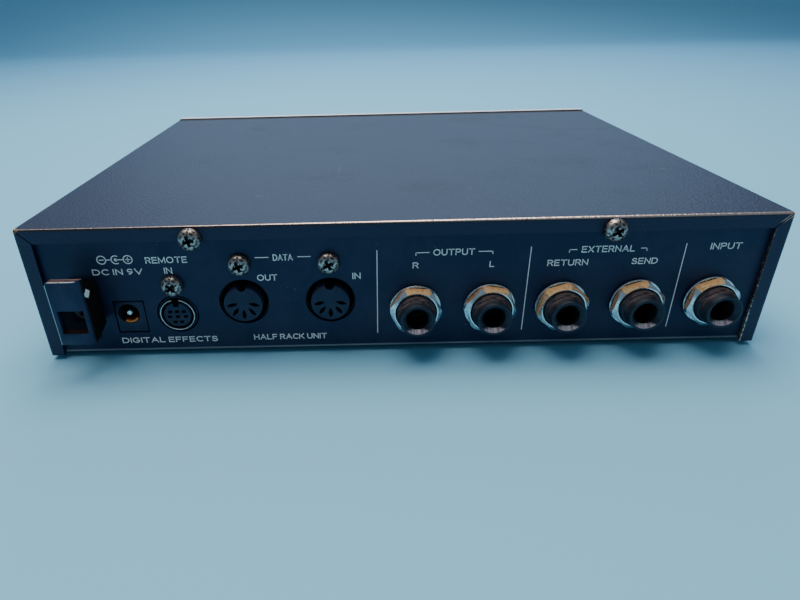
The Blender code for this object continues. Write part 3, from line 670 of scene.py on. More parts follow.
BOWL = [(0, 1), (0.34, 1), *curve(0.36, 0.74, 0.26, 0.26, 90, -90), (0, 0.48)]
LETTERS = {  # the strokes of plain capitals that are 1 high
    "A": [[(0, 0), (0.40, 1), (0.80, 0)], [(0.14, 0.34), (0.66, 0.34)]],
    "B": [[(0, 0), *BOWL], [(0, 0.48), (0.36, 0.48), *curve(0.40, 0.24, 0.26, 0.24, 90, -90), (0, 0)]],
    "C": [curve(0.40, 0.5, 0.40, 0.5, 48, 312)],
    "D": [[(0.30, 0), (0, 0), (0, 1), *curve(0.30, 0.5, 0.44, 0.5, 90, -90)]],
    "E": [[(0.60, 1), (0, 1), (0, 0), (0.60, 0)], [(0, 0.52), (0.54, 0.52)]],
    "F": [[(0.58, 1), (0, 1), (0, 0)], [(0, 0.50), (0.50, 0.50)]],
    "G": [[*curve(0.40, 0.5, 0.40, 0.5, 48, 330), (0.78, 0.46), (0.46, 0.46)]],
    "H": [[(0, 0), (0, 1)], [(0.68, 0), (0.68, 1)], [(0, 0.52), (0.68, 0.52)]],
    "I": [[(0, 0), (0, 1)]],
    "K": [[(0, 0), (0, 1)], [(0.64, 1), (0, 0.36)], [(0.22, 0.58), (0.68, 0)]],
    "L": [[(0, 1), (0, 0), (0.54, 0)]],
    "M": [[(0, 0), (0, 1), (0.42, 0.12), (0.84, 1), (0.84, 0)]],
    "N": [[(0, 0), (0, 1), (0.68, 0), (0.68, 1)]],
    "O": [curve(0.44, 0.5, 0.44, 0.5, 0, 360)],
    "P": [[(0, 0), *BOWL]],
    "R": [[(0, 0), *BOWL], [(0.34, 0.48), (0.64, 0)]],
    "S": [[*curve(0.31, 0.75, 0.27, 0.25, 25, 250), *curve(0.31, 0.26, 0.31, 0.26, 70, -155)]],
    "T": [[(0, 1), (0.70, 1)], [(0.35, 1), (0.35, 0)]],
    "U": [[(0, 1), *curve(0.34, 0.32, 0.34, 0.32, 180, 360), (0.68, 1)]],
    "V": [[(0, 1), (0.38, 0), (0.76, 1)]],
    "W": [[(0, 1), (0.25, 0), (0.49, 0.9), (0.73, 0), (0.98, 1)]],
    "X": [[(0, 0), (0.68, 1)], [(0, 1), (0.68, 0)]],
    "Y": [[(0, 1), (0.35, 0.46), (0.70, 1)], [(0.35, 0.46), (0.35, 0)]],
    "0": [curve(0.28, 0.5, 0.28, 0.5, 0, 360)],
    "2": [[*curve(0.28, 0.73, 0.27, 0.27, 165, -35), (0, 0), (0.58, 0)]],
    "4": [[(0.44, 0), (0.44, 1), (0, 0.28), (0.60, 0.28)]],
    "5": [[(0.52, 1), (0.07, 1), (0.02, 0.52), *curve(0.27, 0.32, 0.29, 0.32, 125, -150)]],
    "9": [curve(0.28, 0.72, 0.28, 0.28, 0, 360), curve(0.06, 0.72, 0.50, 0.72, 0, -80)],
    ".": [[(0, 0), (0, 0.06)]],
}


def add_stroke(shape, points, width, thick):
    """A flat line of this width along points in the XY plane, closed if it ends where it starts."""
    loop = len(points) > 2 and math.dist(points[0], points[-1]) < width * 0.01
    points = [Vector(point) for point in (points[:-1] if loop else points)]
    count = len(points)
    sections = []
    for k, point in enumerate(points):
        before = points[k - 1] if loop or k else None
        after = points[(k + 1) % count] if loop or k < count - 1 else None
        into = (point - before).normalized() if before is not None else None
        onward = (after - point).normalized() if after is not None else into
        into = onward if into is None else into
        across = Vector((-(into + onward).y, (into + onward).x)).normalized()
        reach = width / 2 / max(0.45, across.dot(Vector((-into.y, into.x))))
        end = Vector((0, 0))
        if not loop and k == 0:
            end = -onward * width / 2
        if not loop and k == count - 1:
            end = into * width / 2
        left, right = point + end + across * reach, point + end - across * reach
        sections.append([shape.verts.new((*side, level)) for level in (-thick / 2, thick / 2)
                         for side in (left, right)])
    pairs = list(zip(sections, sections[1:]))
    if loop:
        pairs.append((sections[-1], sections[0]))
    order = (0, 1, 3, 2)
    faces = []
    for first, second in pairs:
        for a, b in zip(order, order[1:] + order[:1]):
            faces.append([first[a], first[b], second[b], second[a]])
    if not loop:
        faces += [[sections[0][k] for k in order], [sections[-1][k] for k in order]]
    for corners in faces:
        shape.faces.new(corners)


def lettering(words, width, height, weight):
    """Thin even lettering in the XY plane that fills a box of this width and height about the origin."""
    strokes, pen = [], 0.0
    for letter in words:
        if letter == " ":
            pen += 0.30
            continue
        far = max(x for stroke in LETTERS[letter] for x, _ in stroke)
        strokes += [[(pen + x, y) for x, y in stroke] for stroke in LETTERS[letter]]
        pen += far + 0.28
    far = max(x for stroke in strokes for x, _ in stroke)
    scale_x, scale_y = (width - weight) / far if far else 1.0, height - weight
    shape = bmesh.new()
    for stroke in strokes:
        points = [(x * scale_x - (width - weight) / 2, (y - 0.5) * scale_y) for x, y in stroke]
        add_stroke(shape, points, weight, PRINT_T)
    return to_mesh(shape)


class Print:
    """Lettering and lines on one flat face of the case, as one piece."""

    def __init__(self, facing, level):
        self.shape = bmesh.new()
        self.facing = facing
        self.level = level

    def words(self, text, x, z, width, height):
        """Words centred on x, with their baseline at z."""
        place = Matrix.Translation((x, self.level, z + height / 2)) @ self.facing
        add_mesh(self.shape, lettering(text, width, height, 0.3 * MM), place)

    def bar(self, x0, z0, x1, z1):
        low = (min(x0, x1), self.level - PRINT_T / 2, min(z0, z1))
        high = (max(x0, x1), self.level + PRINT_T / 2, max(z0, z1))
        add_block(self.shape, low, high)

    def arc(self, x, z, radius, width, start=0.0, end=360.0):
        """Part of a ring, with its angles measured from +X towards +Z."""
        steps = max(4, round(abs(end - start) / 12))
        full = abs(end - start) >= 360
        outer, inner = [], []
        for step in range(steps + (0 if full else 1)):
            angle = math.radians(start + (end - start) * step / steps)
            for ring, size in ((outer, radius + width / 2), (inner, radius - width / 2)):
                ring.append((x + size * math.cos(angle), z + size * math.sin(angle)))
        if not full:
            add_slab(self.shape, outer + inner[::-1], self.level - PRINT_T / 2, self.level + PRINT_T / 2)
            return
        turned = [(-PRINT_T / 2, radius - width / 2), (-PRINT_T / 2, radius + width / 2),
                  (PRINT_T / 2, radius + width / 2), (PRINT_T / 2, radius - width / 2)]
        add_rings(self.shape, turned, 32, centre=(x, self.level, z))

    def dot(self, x, z, radius):
        half = PRINT_T / 2
        add_rings(self.shape, [(-half, 0), (-half, radius), (half, radius), (half, 0)], 20,
                  centre=(x, self.level, z))

    def finish(self, name, record_slot):
        new_piece(name, self.shape, ["print"])


REAR_WORDS = (  # words, what they are centred on, offset, height above the base, width and height in mm
    ("OUTPUT", "outputs", 0.3, 30.4, 11.9, 2.0),
    ("R", "output_r", 0.2, 26.5, 1.7, 1.9),
    ("L", "output_l", 0.2, 26.4, 1.4, 1.9),
    ("EXTERNAL", "loop", -0.35, 30.3, 15.1, 2.0),
    ("RETURN", "return", -0.4, 26.3, 11.7, 1.95),
    ("SEND", "send", -0.4, 26.3, 7.5, 1.95),
    ("INPUT", "input", -0.9, 30.4, 8.8, 2.0),
    ("REMOTE", "remote", 0.5, 29.9, 12.0, 2.0),
    ("IN", "remote", 0.5, 26.5, 2.35, 2.0),
    ("DATA", "data", 0.2, 29.9, 5.7, 2.0),
    ("OUT", "data_out", -7.6, 23.6, 5.9, 2.0),
    ("IN", "data_in", -7.9, 23.5, 2.4, 2.0),
    ("DC IN 9V", "power", 0.9, 26.5, 14.6, 1.9),
    ("DIGITAL EFFECTS", "case", 70.9, 3.2, 29.4, 1.9),
    ("HALF RACK UNIT", "case", 33.8, 3.4, 22.4, 1.9),
)
BRACKETS = (  # what they flank, near end, far end, height above the base and drop at the far end in mm
    ("outputs", 7.3, 11.3, 31.4, 0.9),
    ("outputs", -6.7, -10.9, 31.4, 0.9),
    ("loop", 8.5, 10.8, 31.3, 0.9),
    ("loop", -9.6, -11.5, 31.3, 0.9),
    ("data", 4.3, 8.2, 31.0, 0),
    ("data", -4.0, -7.8, 31.0, 0),
)
DIVIDERS = (7.0, -36.9, -80.9)


def rear_print():
    sheet = Print(FACES_REAR, WALL + PRINT_T / 2 + 0.01 * MM)
    at = {name: middle(name + "_washer").x for name in JACKS}
    at["outputs"] = (at["output_r"] + at["output_l"]) / 2
    at["loop"] = (at["return"] + at["send"]) / 2
    for name in ("remote", "data_out", "data_in", "power"):
        at[name] = middle(name + "_socket").x
    at["data"] = (at["data_out"] + at["data_in"]) / 2
    at["case"] = 0
    for text, anchor, offset, rise, width, height in REAR_WORDS:
        sheet.words(text, at[anchor] + offset * MM, BASE + rise * MM, width * MM, height * MM)
    thin = 0.26 * MM
    for anchor, near, far, rise, drop in BRACKETS:
        x_near, x_far, z = at[anchor] + near * MM, at[anchor] + far * MM, BASE + rise * MM
        sheet.bar(x_near, z - thin / 2, x_far, z + thin / 2)
        if drop:
            sheet.bar(x_far, z - drop * MM, x_far + math.copysign(thin, near - far), z + thin / 2)
    for place in DIVIDERS:
        sheet.bar(place * MM - thin / 2, BASE + 5 * MM, place * MM + thin / 2, BASE + 32.5 * MM)
    polarity_symbol(sheet, at["power"] + 0.6 * MM, BASE + 31.3 * MM)
    sheet.finish("rear_print", "chassis_paint")


def polarity_symbol(sheet, x, z):
    """Minus on the sleeve, plus on the pin: ring, open ring round a dot, ring."""
    radius, line = 1.25 * MM, 0.3 * MM
    half = line / 2
    minus_x, plus_x = x + 4.1 * MM, x - 3.5 * MM
    sheet.arc(minus_x, z, radius, line)
    sheet.arc(plus_x, z, radius, line)
    sheet.arc(x, z, radius, line, -125, 125)
    sheet.dot(x, z, 0.5 * MM)
    for centre in (minus_x, plus_x):
        sheet.bar(centre - 0.7 * MM, z - half, centre + 0.7 * MM, z + half)
    sheet.bar(plus_x - half, z - 0.7 * MM, plus_x + half, z + 0.7 * MM)
    sheet.bar(x + radius, z - half, minus_x - radius, z + half)
    sheet.bar(plus_x + radius, z - half, x, z + half)


# Rear sockets


NUT_FLATS = 14 * MM
NUT_TURNS = {"output_r": -5, "output_l": -10, "return": 17, "send": 18, "input": 20}  # degrees


def jack_nut(name):
    """A hexagon nut with a turned cone on its outer face. Its top faces are brass: a painted reflection of
    warm light from above.
    """
    low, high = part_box(name + "_nut")
    centre = (low + high) / 2
    thick = high.y - low.y
    hole, face_r, corner_r, chamfer = 5.95 * MM, 6.45 * MM, 7.65 * MM, 0.2 * MM
    turn = math.radians(NUT_TURNS[name] + 30)
    segments, cone_slope = 144, 0.8
    rings = [[] for _ in range(6)]
    shape = bmesh.new()
    for step in range(segments):
        angle = math.tau * step / segments
        local = (angle - turn) % (math.tau / 6) - math.tau / 12
        flat_r = min(NUT_FLATS / 2 / math.cos(local), corner_r)
        over = (flat_r - face_r) * cone_slope
        points = (
            (0.0, flat_r), (thick - over, flat_r), (thick, face_r),
            (thick, hole + chamfer), (thick - chamfer, hole), (0.0, hole),
        )
        for ring, (along, radius) in zip(rings, points):
            spot = (centre.x + radius * math.sin(angle), low.y + along, centre.z + radius * math.cos(angle))
            ring.append(shape.verts.new(spot))
    # Brass and dull brass on the top faces, and a few more on the return nut, are a painted reflection of
    # warm light from above.
    warm_reflection_faces = {(0, 0): 1, (1, 0): 1, (0, 1): 3}  # finishes of (ring, side), with side 0 on top
    if name == "return":
        warm_reflection_faces.update({(0, 5): 3, (1, 5): 3, (1, 1): 3})
    for index, (first, second) in enumerate(zip(rings, rings[1:] + rings[:1])):
        for step in range(segments):
            corners = [first[step], first[step - 1], second[step - 1], second[step]]
            side = round((360 * (step - 0.5) / segments - NUT_TURNS[name]) / 60) % 6
            # The inner chamfer takes the near-black recess_dirt finish: partly dirt, partly painted shade in
            # the gap round the barrel.
            slot = 2 if index == 3 else warm_reflection_faces.get((index, side), 0)
            shape.faces.new(corners).material_index = slot
    finishes = ["nickel", "brass", "recess_dirt", "dull_brass"]
    new_piece(name + "_hex_nut", shape, finishes, stands_for=[name + "_nut"])


def jack_washer(name):
    low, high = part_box(name + "_washer")
    centre = (low + high) / 2
    radius = (high.x - low.x) / 2 + 0.2 * MM
    thick = high.y - low.y
    edge, hole = 0.2 * MM, 5.95 * MM
    profile = [
        (0, hole), (0, radius - edge), (edge, radius), (thick - edge, radius),
        (thick, radius - edge), (thick, hole),
    ]
    shape = add_rings(bmesh.new(), profile, 128, centre=(centre.x, low.y, centre.z))
    new_piece(name + "_flat_washer", shape, ["nickel"], stands_for=[name + "_washer"])


def jack_barrel(name):
    """The moulded jack: box, threaded barrel, plain lip, countersunk mouth, inner sleeve and tip contact."""
    low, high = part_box(name + "_jack")
    centre = middle(name + "_washer")
    origin = Vector((centre.x, high.y, centre.z))
    place = Matrix.Translation(origin)
    crest, root, lip, flare, bore = 5.75 * MM, 5.35 * MM, 5.1 * MM, 4.3 * MM, 3.2 * MM
    pitch, thread_end = 1.0 * MM, -2.2 * MM
    mouth_end, throat = -1.2 * MM, -4 * MM  # where the countersink and the narrow part of the bore end
    shoulder = WALL - 1.3 * MM - high.y
    inside = low.y - high.y + 3 * MM
    profile = [(shoulder - 1 * MM, 0), (shoulder - 1 * MM, root)]
    along = shoulder
    while along + pitch < thread_end:
        profile += [(along, root), (along + 0.35 * pitch, crest), (along + 0.55 * pitch, crest),
                    (along + 0.9 * pitch, root)]
        along += pitch
    profile += [
        (thread_end, root), (-1.6 * MM, lip), (-0.35 * MM, lip), (-0.1 * MM, lip - 0.1 * MM),
        (0, lip - 0.35 * MM), (0, flare + 0.1 * MM), (-0.06 * MM, flare), (mouth_end, bore + 0.05 * MM),
        (-1.5 * MM, bore), (throat, bore), (throat, bore + 0.12 * MM),
        (inside, bore + 0.12 * MM), (inside, 0),
    ]
    shape = add_rings(bmesh.new(), profile, 96)
    low, high = low - origin, high - origin
    add_block(shape, low, (high.x, shoulder, high.z), 0.5 * MM)
    mesh = to_mesh(shape)
    for face in mesh.polygons:
        spot = face.center
        if math.hypot(spot.x, spot.z) < flare + 0.02 * MM and spot.y > inside:
            face.material_index = 1 if spot.y > mouth_end - 0.1 * MM else 2
    finishes = ["barrel_plastic", "mouth_gloss", "socket_dark"]
    new_piece(name + "_barrel", mesh, finishes, stands_for=[name + "_jack"], place=place)
    skin, near, far = 0.1 * MM, -9 * MM, -15 * MM
    profile = [(near, bore), (near, bore + skin), (far, bore + skin), (far, bore)]
    sleeve = add_rings(bmesh.new(), profile, 96)
    new_piece(name + "_sleeve", sleeve, ["sleeve_metal"], place=place)
    contact = bmesh.new()
    add_block(contact, (-1.2 * MM, low.y + 5 * MM, 2.2 * MM), (1.2 * MM, low.y + 11 * MM, 3.1 * MM), 0.3 * MM)
    new_piece(name + "_tip_contact", contact, ["nickel"], place=place)


SOCKET_RISE = 16.7 * MM  # how far the round sockets' centres lie above the cover's lower edge
PIN_FAN = 0.8 * MM  # how far the centre of the pin slots' fan lies above the core's centre
# Each pin slot's turn in degrees, and where it starts and ends from the fan's centre in mm
PIN_TURNS = ((-75, 1.8, 4.9), (-37, 2.6, 5.5), (0, 2.6, 5.6), (37, 2.6, 5.5), (75, 1.8, 4.9))


def data_socket(name):
    """A round five-pin socket: dark shell, core with a key notch and five tapered slots, contacts."""
    low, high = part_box(name)
    x = (low.x + high.x) / 2
    z = BASE + SOCKET_RISE
    face = high.y
    core_r, shell_in, shell_out = 5.75 * MM, 6.95 * MM, 7.3 * MM
    edge = 0.35 * MM
    depth = face - WALL + 8 * MM
    core = bmesh.new()
    profile = [(-depth, 0), (-depth, core_r), (-edge, core_r), (-edge * 0.3, core_r - edge * 0.3),
               (0, core_r - edge), (0, 0)]
    add_rings(core, profile, 96)
    cuts = []
    for turn, near, far in PIN_TURNS:
        slot = bmesh.new()
        broad = near + (far - near) * 0.55
        half = [(0.2, near), (0.34, near + 0.5), (0.58, broad - 0.4), (0.58, broad + 0.3), (0.2, far)]
        outline = [(a * MM, -b * MM) for a, b in half] + [(-a * MM, -b * MM) for a, b in half[::-1]]
        add_slab(slot, outline, -6 * MM, 1 * MM)
        slot.transform(Matrix.Translation((0, 0, PIN_FAN)) @ Matrix.Rotation(math.radians(turn), 4, "Y"))
        cuts.append(slot)
    key = bmesh.new()
    key_r, beyond = 1.35 * MM, 1 * MM
    add_rings(key, [(-depth - beyond, 0), (-depth - beyond, key_r), (beyond, key_r), (beyond, 0)], 32,
              centre=(0, 0, core_r - 0.1 * MM))
    cuts.append(key)
    place = Matrix.Translation((x, face, z))
    new_piece(name + "_core", carved(core, cuts), ["socket_plastic"], place=place)
    shape = bmesh.new()
    back = low.y
    floor, rim, wide = back - WALL + 7 * MM, -1.35 * MM, shell_out + 0.6 * MM
    add_rings(shape, [(floor, 0), (floor, shell_in), (rim, shell_in), (rim, shell_out), (-1.6 * MM, wide),
                      (back - WALL + 6 * MM, wide), (back - WALL + 6 * MM, 0)], 96, centre=(x, WALL, z))
    add_block(shape, low, (high.x, low.y + 7 * MM, z + 9.5 * MM), 0.5 * MM)
    new_piece(name + "_shell", shape, ["socket_dark"], stands_for=[name])
    shape = bmesh.new()
    deep, tip, thin = -5.8 * MM, -4.2 * MM, 0.36 * MM
    for turn, near, far in PIN_TURNS:
        reach = (near + far) / 2 * MM
        angle = math.radians(turn)
        centre = (x + reach * math.sin(angle), face, z + PIN_FAN - reach * math.cos(angle))
        add_rings(shape, [(deep, 0), (deep, thin), (tip, thin), (tip, 0)], 16, centre=centre)
    new_piece(name + "_contacts", shape, ["nickel"])


# The rows of holes from the top down: height and columns, in mm from the core's centre
REMOTE_ROWS = ((1.1, (-2.05, 0, 2.05)), (-0.6, (-2.4, 0, 2.4)), (-2.4, (-0.95, 0.95)))


def remote_socket():
    """The eight-pin miniature socket: boss, shield ring with a gap at the top, core and its holes."""
    low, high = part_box("remote_socket")
    shield_low, shield_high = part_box("remote_shield")
    centre = (shield_low + shield_high) / 2
    out = shield_high.y
    x, z = centre.x, centre.z
    boss_r = 6.0 * MM
    shell_out = (shield_high.x - shield_low.x) / 2
    shell_in = shell_out - 0.32 * MM
    core_r = 4.1 * MM
    shape = bmesh.new()
    add_block(shape, low, (high.x, WALL - 7.5 * MM, z + 6.4 * MM), 0.5 * MM)
    back, groove, bevel = -8 * MM, shell_out + 0.35 * MM, 0.3 * MM
    add_rings(shape, [(back, 0), (back, boss_r), (-bevel, boss_r), (0, boss_r - bevel), (0, groove),
                      (-6 * MM, groove), (-6 * MM, 0)], 96, centre=(x, WALL, z))
    new_piece("remote_boss", shape, ["socket_plastic"], stands_for=["remote_socket"])
    edge = 0.1 * MM
    ring = [
        (-5.9 * MM, shell_in), (-5.9 * MM, shell_out), (-edge, shell_out), (0, shell_out - edge),
        (0, shell_in + edge), (-edge, shell_in),
    ]
    shell = add_rings(bmesh.new(), ring, 96)
    gap = add_block(bmesh.new(), (-1.05 * MM, -3 * MM, 0), (1.05 * MM, 1 * MM, 6 * MM))
    new_piece("remote_shell", carved(shell, [gap]), ["module_steel"],
              stands_for=["remote_shield"], place=Matrix.Translation((x, out, z)))
    core, edge = bmesh.new(), 0.2 * MM
    add_rings(core, [(-6 * MM, 0), (-6 * MM, core_r), (-edge, core_r), (0, core_r - edge), (0, 0)], 64)
    cuts = [add_block(bmesh.new(), (-0.85 * MM, -4 * MM, 2.7 * MM), (0.85 * MM, 1 * MM, 6 * MM))]
    half_w, half_h = 0.62, 0.46
    for row, columns in REMOTE_ROWS:
        for column in columns:
            hole = add_block(bmesh.new(), ((column - half_w) * MM, -3 * MM, (row - half_h) * MM),
                             ((column + half_w) * MM, 1 * MM, (row + half_h) * MM))
            cuts.append(hole)
    new_piece("remote_core", carved(core, cuts), ["socket_plastic"],
              place=Matrix.Translation((x, out - 0.15 * MM, z)))


def power_socket():
    """The moulded barrel socket, its centre pin and the curved spring in its mouth."""
    low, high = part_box("power_socket")
    pin_low, pin_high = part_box("power_pin")
    pin = (pin_low + pin_high) / 2
    shape = add_block(bmesh.new(), low, high, 0.35 * MM)
    mouth, bore = bmesh.new(), 3.15 * MM
    profile = [(-10 * MM, 0), (-10 * MM, bore), (-0.4 * MM, bore), (1 * MM, 3.4 * MM), (1 * MM, 0)]
    add_rings(mouth, profile, 96, centre=(pin.x, high.y, pin.z))
    new_piece("power_body", carved(shape, [mouth]), ["socket_plastic"],
              stands_for=["power_socket"])
    radius = (pin_high.x - pin_low.x) / 2
    reach = pin_high.y
    shape = add_rings(bmesh.new(), [(pin_low.y, 0), (pin_low.y, radius), (reach - 0.6 * MM, radius),
                                    (reach - 0.15 * MM, radius * 0.7), (reach, 0)], 48,
                      centre=(pin.x, 0, pin.z))
    new_piece("power_centre_pin", shape, ["nickel"], stands_for=["power_pin"])
    spring = bmesh.new()
    outline = [(pin.x + a, pin.z + b) for a, b in curve(0, 0, 3.1 * MM, 3.1 * MM, 218, 298)]
    outline += [(pin.x + a, pin.z + b) for a, b in curve(0, 0.4 * MM, 2.9 * MM, 2.9 * MM, 298, 218)]
    add_slab(spring, outline, high.y - 6 * MM, high.y - 0.15 * MM)
    new_piece("power_spring", spring, ["copper"])


SCREW_TURNS = {  # degrees that each screw's cross stands turned
    "cover_screw_left": 12, "cover_screw_right": 35, "remote_screw": 44, "cord_hook_screw": 60,
    "data_out_screw": 20, "data_in_screw": 27,
}


def pan_screw(name):
    """A pan head with a rounded crown and a tapered cross recess that has filled with dirt."""
    low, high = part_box(name)
    centre = (low + high) / 2
    height = 2.3 * MM
    seat = high.y - height
    radius = (high.x - low.x) / 2 + 0.03 * MM
    profile = [(low.y - seat, 0), (low.y - seat, 1.3 * MM), (0, 1.45 * MM), (0, radius - 0.1 * MM),
               (0.1 * MM, radius)]
    for step in range(9):
        angle = math.radians(90 * step / 8)
        profile.append((0.5 * MM + (height - 0.5 * MM) * math.sin(angle), radius * math.cos(angle) ** 0.62))
    profile[-1] = (height, 0)
    head = add_rings(bmesh.new(), profile, 64)
    cuts = []
    wide, narrow, deep = 1.9 * MM, 0.7 * MM, 1.6 * MM
    for turn in (0, 90):
        slot = bmesh.new()
        add_slab(slot, [(-wide, height + 0.3 * MM), (wide, height + 0.3 * MM), (narrow, height - deep),
                        (-narrow, height - deep)], -0.5 * MM, 0.5 * MM, axis=2)
        slot.transform(Matrix.Rotation(math.radians(turn), 4, "Y"))
        cuts.append(slot)
    mesh = carved(head, cuts)
    # The cord hook's screw head is near black all over: painted shade inside the hook's channel.
    crown = "recess_dirt" if name == "cord_hook_screw" else "plated_steel"
    for face in mesh.polygons:
        spot = face.center
        if math.hypot(spot.x, spot.z) < 1.9 * MM and 0.3 * MM < spot.y < height - 0.35 * MM:
            face.material_index = 1
    mesh.transform(Matrix.Rotation(math.radians(SCREW_TURNS[name]), 4, "Y"))
    new_piece(name + "_head", mesh, [crown, "recess_dirt"], stands_for=[name],
              place=Matrix.Translation((centre.x, seat, centre.z)))


HOOK_T = 2.0 * MM
# The back plate's edges, which the side wall's slopes run down and up to
HOOK_BACK_TOP = BASE + 25 * MM
HOOK_BACK_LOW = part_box("cord_hook")[0].z + 2.2 * MM


def cord_hook():
    """The bent steel channel, with rounded bends and a side wall that narrows towards the panel."""
    low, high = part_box("cord_hook")
    outer, inner = 2.5 * MM, 0.5 * MM
    x0, x1, back, out = low.x + 0.7 * MM, high.x, low.y, high.y
    window_x, window_z = middle("cord_hook_screw").x, middle("cord_hook_screw").z
    half = 3.5 * MM
    outline = [(x1, out)]
    outline += curve(x0 + outer, out - outer, outer, outer, 90, 180)
    outline += curve(x0 + outer, back + outer, outer, outer, 180, 270)
    outline += [(x1, back), (x1, back + HOOK_T)]
    outline += curve(x0 + HOOK_T + inner, back + HOOK_T + inner, inner, inner, 270, 180)
    outline += curve(x0 + HOOK_T + inner, out - HOOK_T - inner, inner, inner, 180, 90)
    outline += [(x1, out - HOOK_T)]
    channel = add_slab(bmesh.new(), outline, low.z, high.z, axis=2)
    window = add_block(bmesh.new(), (window_x - half, out - 3 * MM, window_z - half),
                       (window_x + half, out + 3 * MM, window_z + half))
    corner = bmesh.new()
    round_r = 1.3 * MM
    ring = [(x1 + 1 * MM, high.z + 1 * MM), (x1 + 1 * MM, high.z - round_r)]
    ring += curve(x1 - round_r, high.z - round_r, round_r, round_r, 0, 90)
    ring += [(x1 - round_r, high.z + 1 * MM)]
    add_slab(corner, ring, out - 3 * MM, out + 1 * MM)
    cuts = [window, corner]
    beyond = 1 * MM
    plate, behind = out - HOOK_T, back - beyond
    clear = 3 * MM
    for far, base, edge in ((high.z + clear, HOOK_BACK_TOP, high.z), (low.z - clear, HOOK_BACK_LOW, low.z)):
        slope = [(plate, far), (behind, far), (behind, base), (back + HOOK_T, base), (plate, edge)]
        cuts.append(add_slab(bmesh.new(), slope, x0 - beyond, x1 + beyond, axis=0))
    shape = bmesh.new()
    shape.from_mesh(carved(channel, cuts))
    bmesh.ops.remove_doubles(shape, verts=shape.verts, dist=0.002 * MM)
    rim = [
        edge for edge in shape.edges
        if all(vert.co.y > out - 0.01 * MM for vert in edge.verts) and edge.calc_face_angle(0) > 1.0
    ]
    bmesh.ops.bevel(shape, geom=rim, offset=0.22 * MM, segments=2, profile=0.5, affect="EDGES")
    new_piece("hook_channel", shape, ["hook_paint"], stands_for=["cord_hook"])


# Front panel


def ribbed_knob(name):
    """A ribbed knob with a smooth crown and a white pointer line."""
    low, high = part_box(name + "_knob")
    centre = (low + high) / 2
    radius = (high.x - low.x) / 2
    length = high.y - low.y
    ribs = 36 if radius < 10 * MM else 60
    segments = ribs * 4
    depth = 0.35 * MM
    shape = bmesh.new()
    # How far along the knob, share of the radius, and whether the ribs run there
    rows = [(0.0, 0.9, 0), (0.3 * MM, 1.0, 0), (1.6 * MM, 1.0, 0), (2.0 * MM, 0.98, 1),
            (length - 2.4 * MM, 0.95, 1), (length - 2.0 * MM, 0.95, 0), (length - 1.2 * MM, 0.94, 0),
            (length - 0.5 * MM, 0.91, 0), (length - 0.1 * MM, 0.84, 0), (length - 0.1 * MM, 0.78, 0),
            (length - 0.5 * MM, 0.72, 0), (length - 0.5 * MM, 0.2, 0)]
    rings = []
    for along, share, ribbed in rows:
        radii = [radius * share - (depth if ribbed and step % 4 < 2 else 0) for step in range(segments)]
        rings.append(add_ring(shape, (centre.x, high.y - along, centre.z), radii))
    for first, second in zip(rings, rings[1:]):
        for step in range(segments):
            shape.faces.new([first[step], first[step - 1], second[step - 1], second[step]])
    shape.faces.new(rings[0])
    shape.faces.new(rings[-1])
    body = name + "_control_knob"
    new_piece(name + "_ribbed_knob", shape, ["black_plastic"], body=body,
              stands_for=[name + "_knob"])
    pointer = bmesh.new()
    add_block(pointer, (centre.x - 0.45 * MM, low.y + 0.02 * MM, centre.z + radius * 0.35),
              (centre.x + 0.45 * MM, low.y + 0.55 * MM, centre.z + radius * 0.9), 0.1 * MM)
    new_piece(name + "_pointer", pointer, ["print"], body=body)


def key(name):
    """A key's cap and its stem. The four small ones have a lip behind the panel."""
    low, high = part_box(name)
    centre = (low + high) / 2
    shape = bmesh.new()
    if name == "power_key":
        add_block(shape, low, (high.x, FRONT + 2 * MM, high.z), 0.6 * MM)
        start, half = FRONT + 1.9 * MM, 2.1 * MM
    else:
        lip = 1.0 * MM
        cap_low = (low.x + lip, low.y, low.z + lip)
        add_block(shape, cap_low, (high.x - lip, FRONT + 3.6 * MM, high.z - lip), 0.45 * MM)
        add_block(shape, (low.x, FRONT + 3.5 * MM, low.z), (high.x, FRONT + 4.5 * MM, high.z), 0.15 * MM)
        start, half = FRONT + 4.4 * MM, 1.5 * MM
    add_block(shape, (centre.x - half, start, centre.z - half), (centre.x + half, high.y, centre.z + half),
              0.1 * MM)
    new_piece(name + "_cap", shape, ["key_grey"], body=name + "_body", stands_for=[name])


SEGMENTS = {  # which bars of a seven-bar digit are lit, from the top round clockwise, then the middle
    "2": (1, 1, 0, 1, 1, 0, 1),
    "4": (0, 1, 1, 0, 0, 1, 1),
}


def digit_bars(x, z, width, height, level):
    """The low and high corners of a digit's seven bars."""
    thick = 0.9 * MM
    w, h = width / 2, height / 2
    gap = 0.12 * MM
    upright = h - thick * 0.5 - 2 * gap
    bars = [
        (x, z + h, w - thick / 2 - gap, thick / 2),
        (x + w, z + h / 2, thick / 2, upright / 2),
        (x + w, z - h / 2, thick / 2, upright / 2),
        (x, z - h, w - thick / 2 - gap, thick / 2),
        (x - w, z - h / 2, thick / 2, upright / 2),
        (x - w, z + h / 2, thick / 2, upright / 2),
        (x, z, w - thick / 2 - gap, thick / 2),
    ]
    return [((bx - bw, level, bz - bh), (bx + bw, level + 0.1 * MM, bz + bh)) for bx, bz, bw, bh in bars]


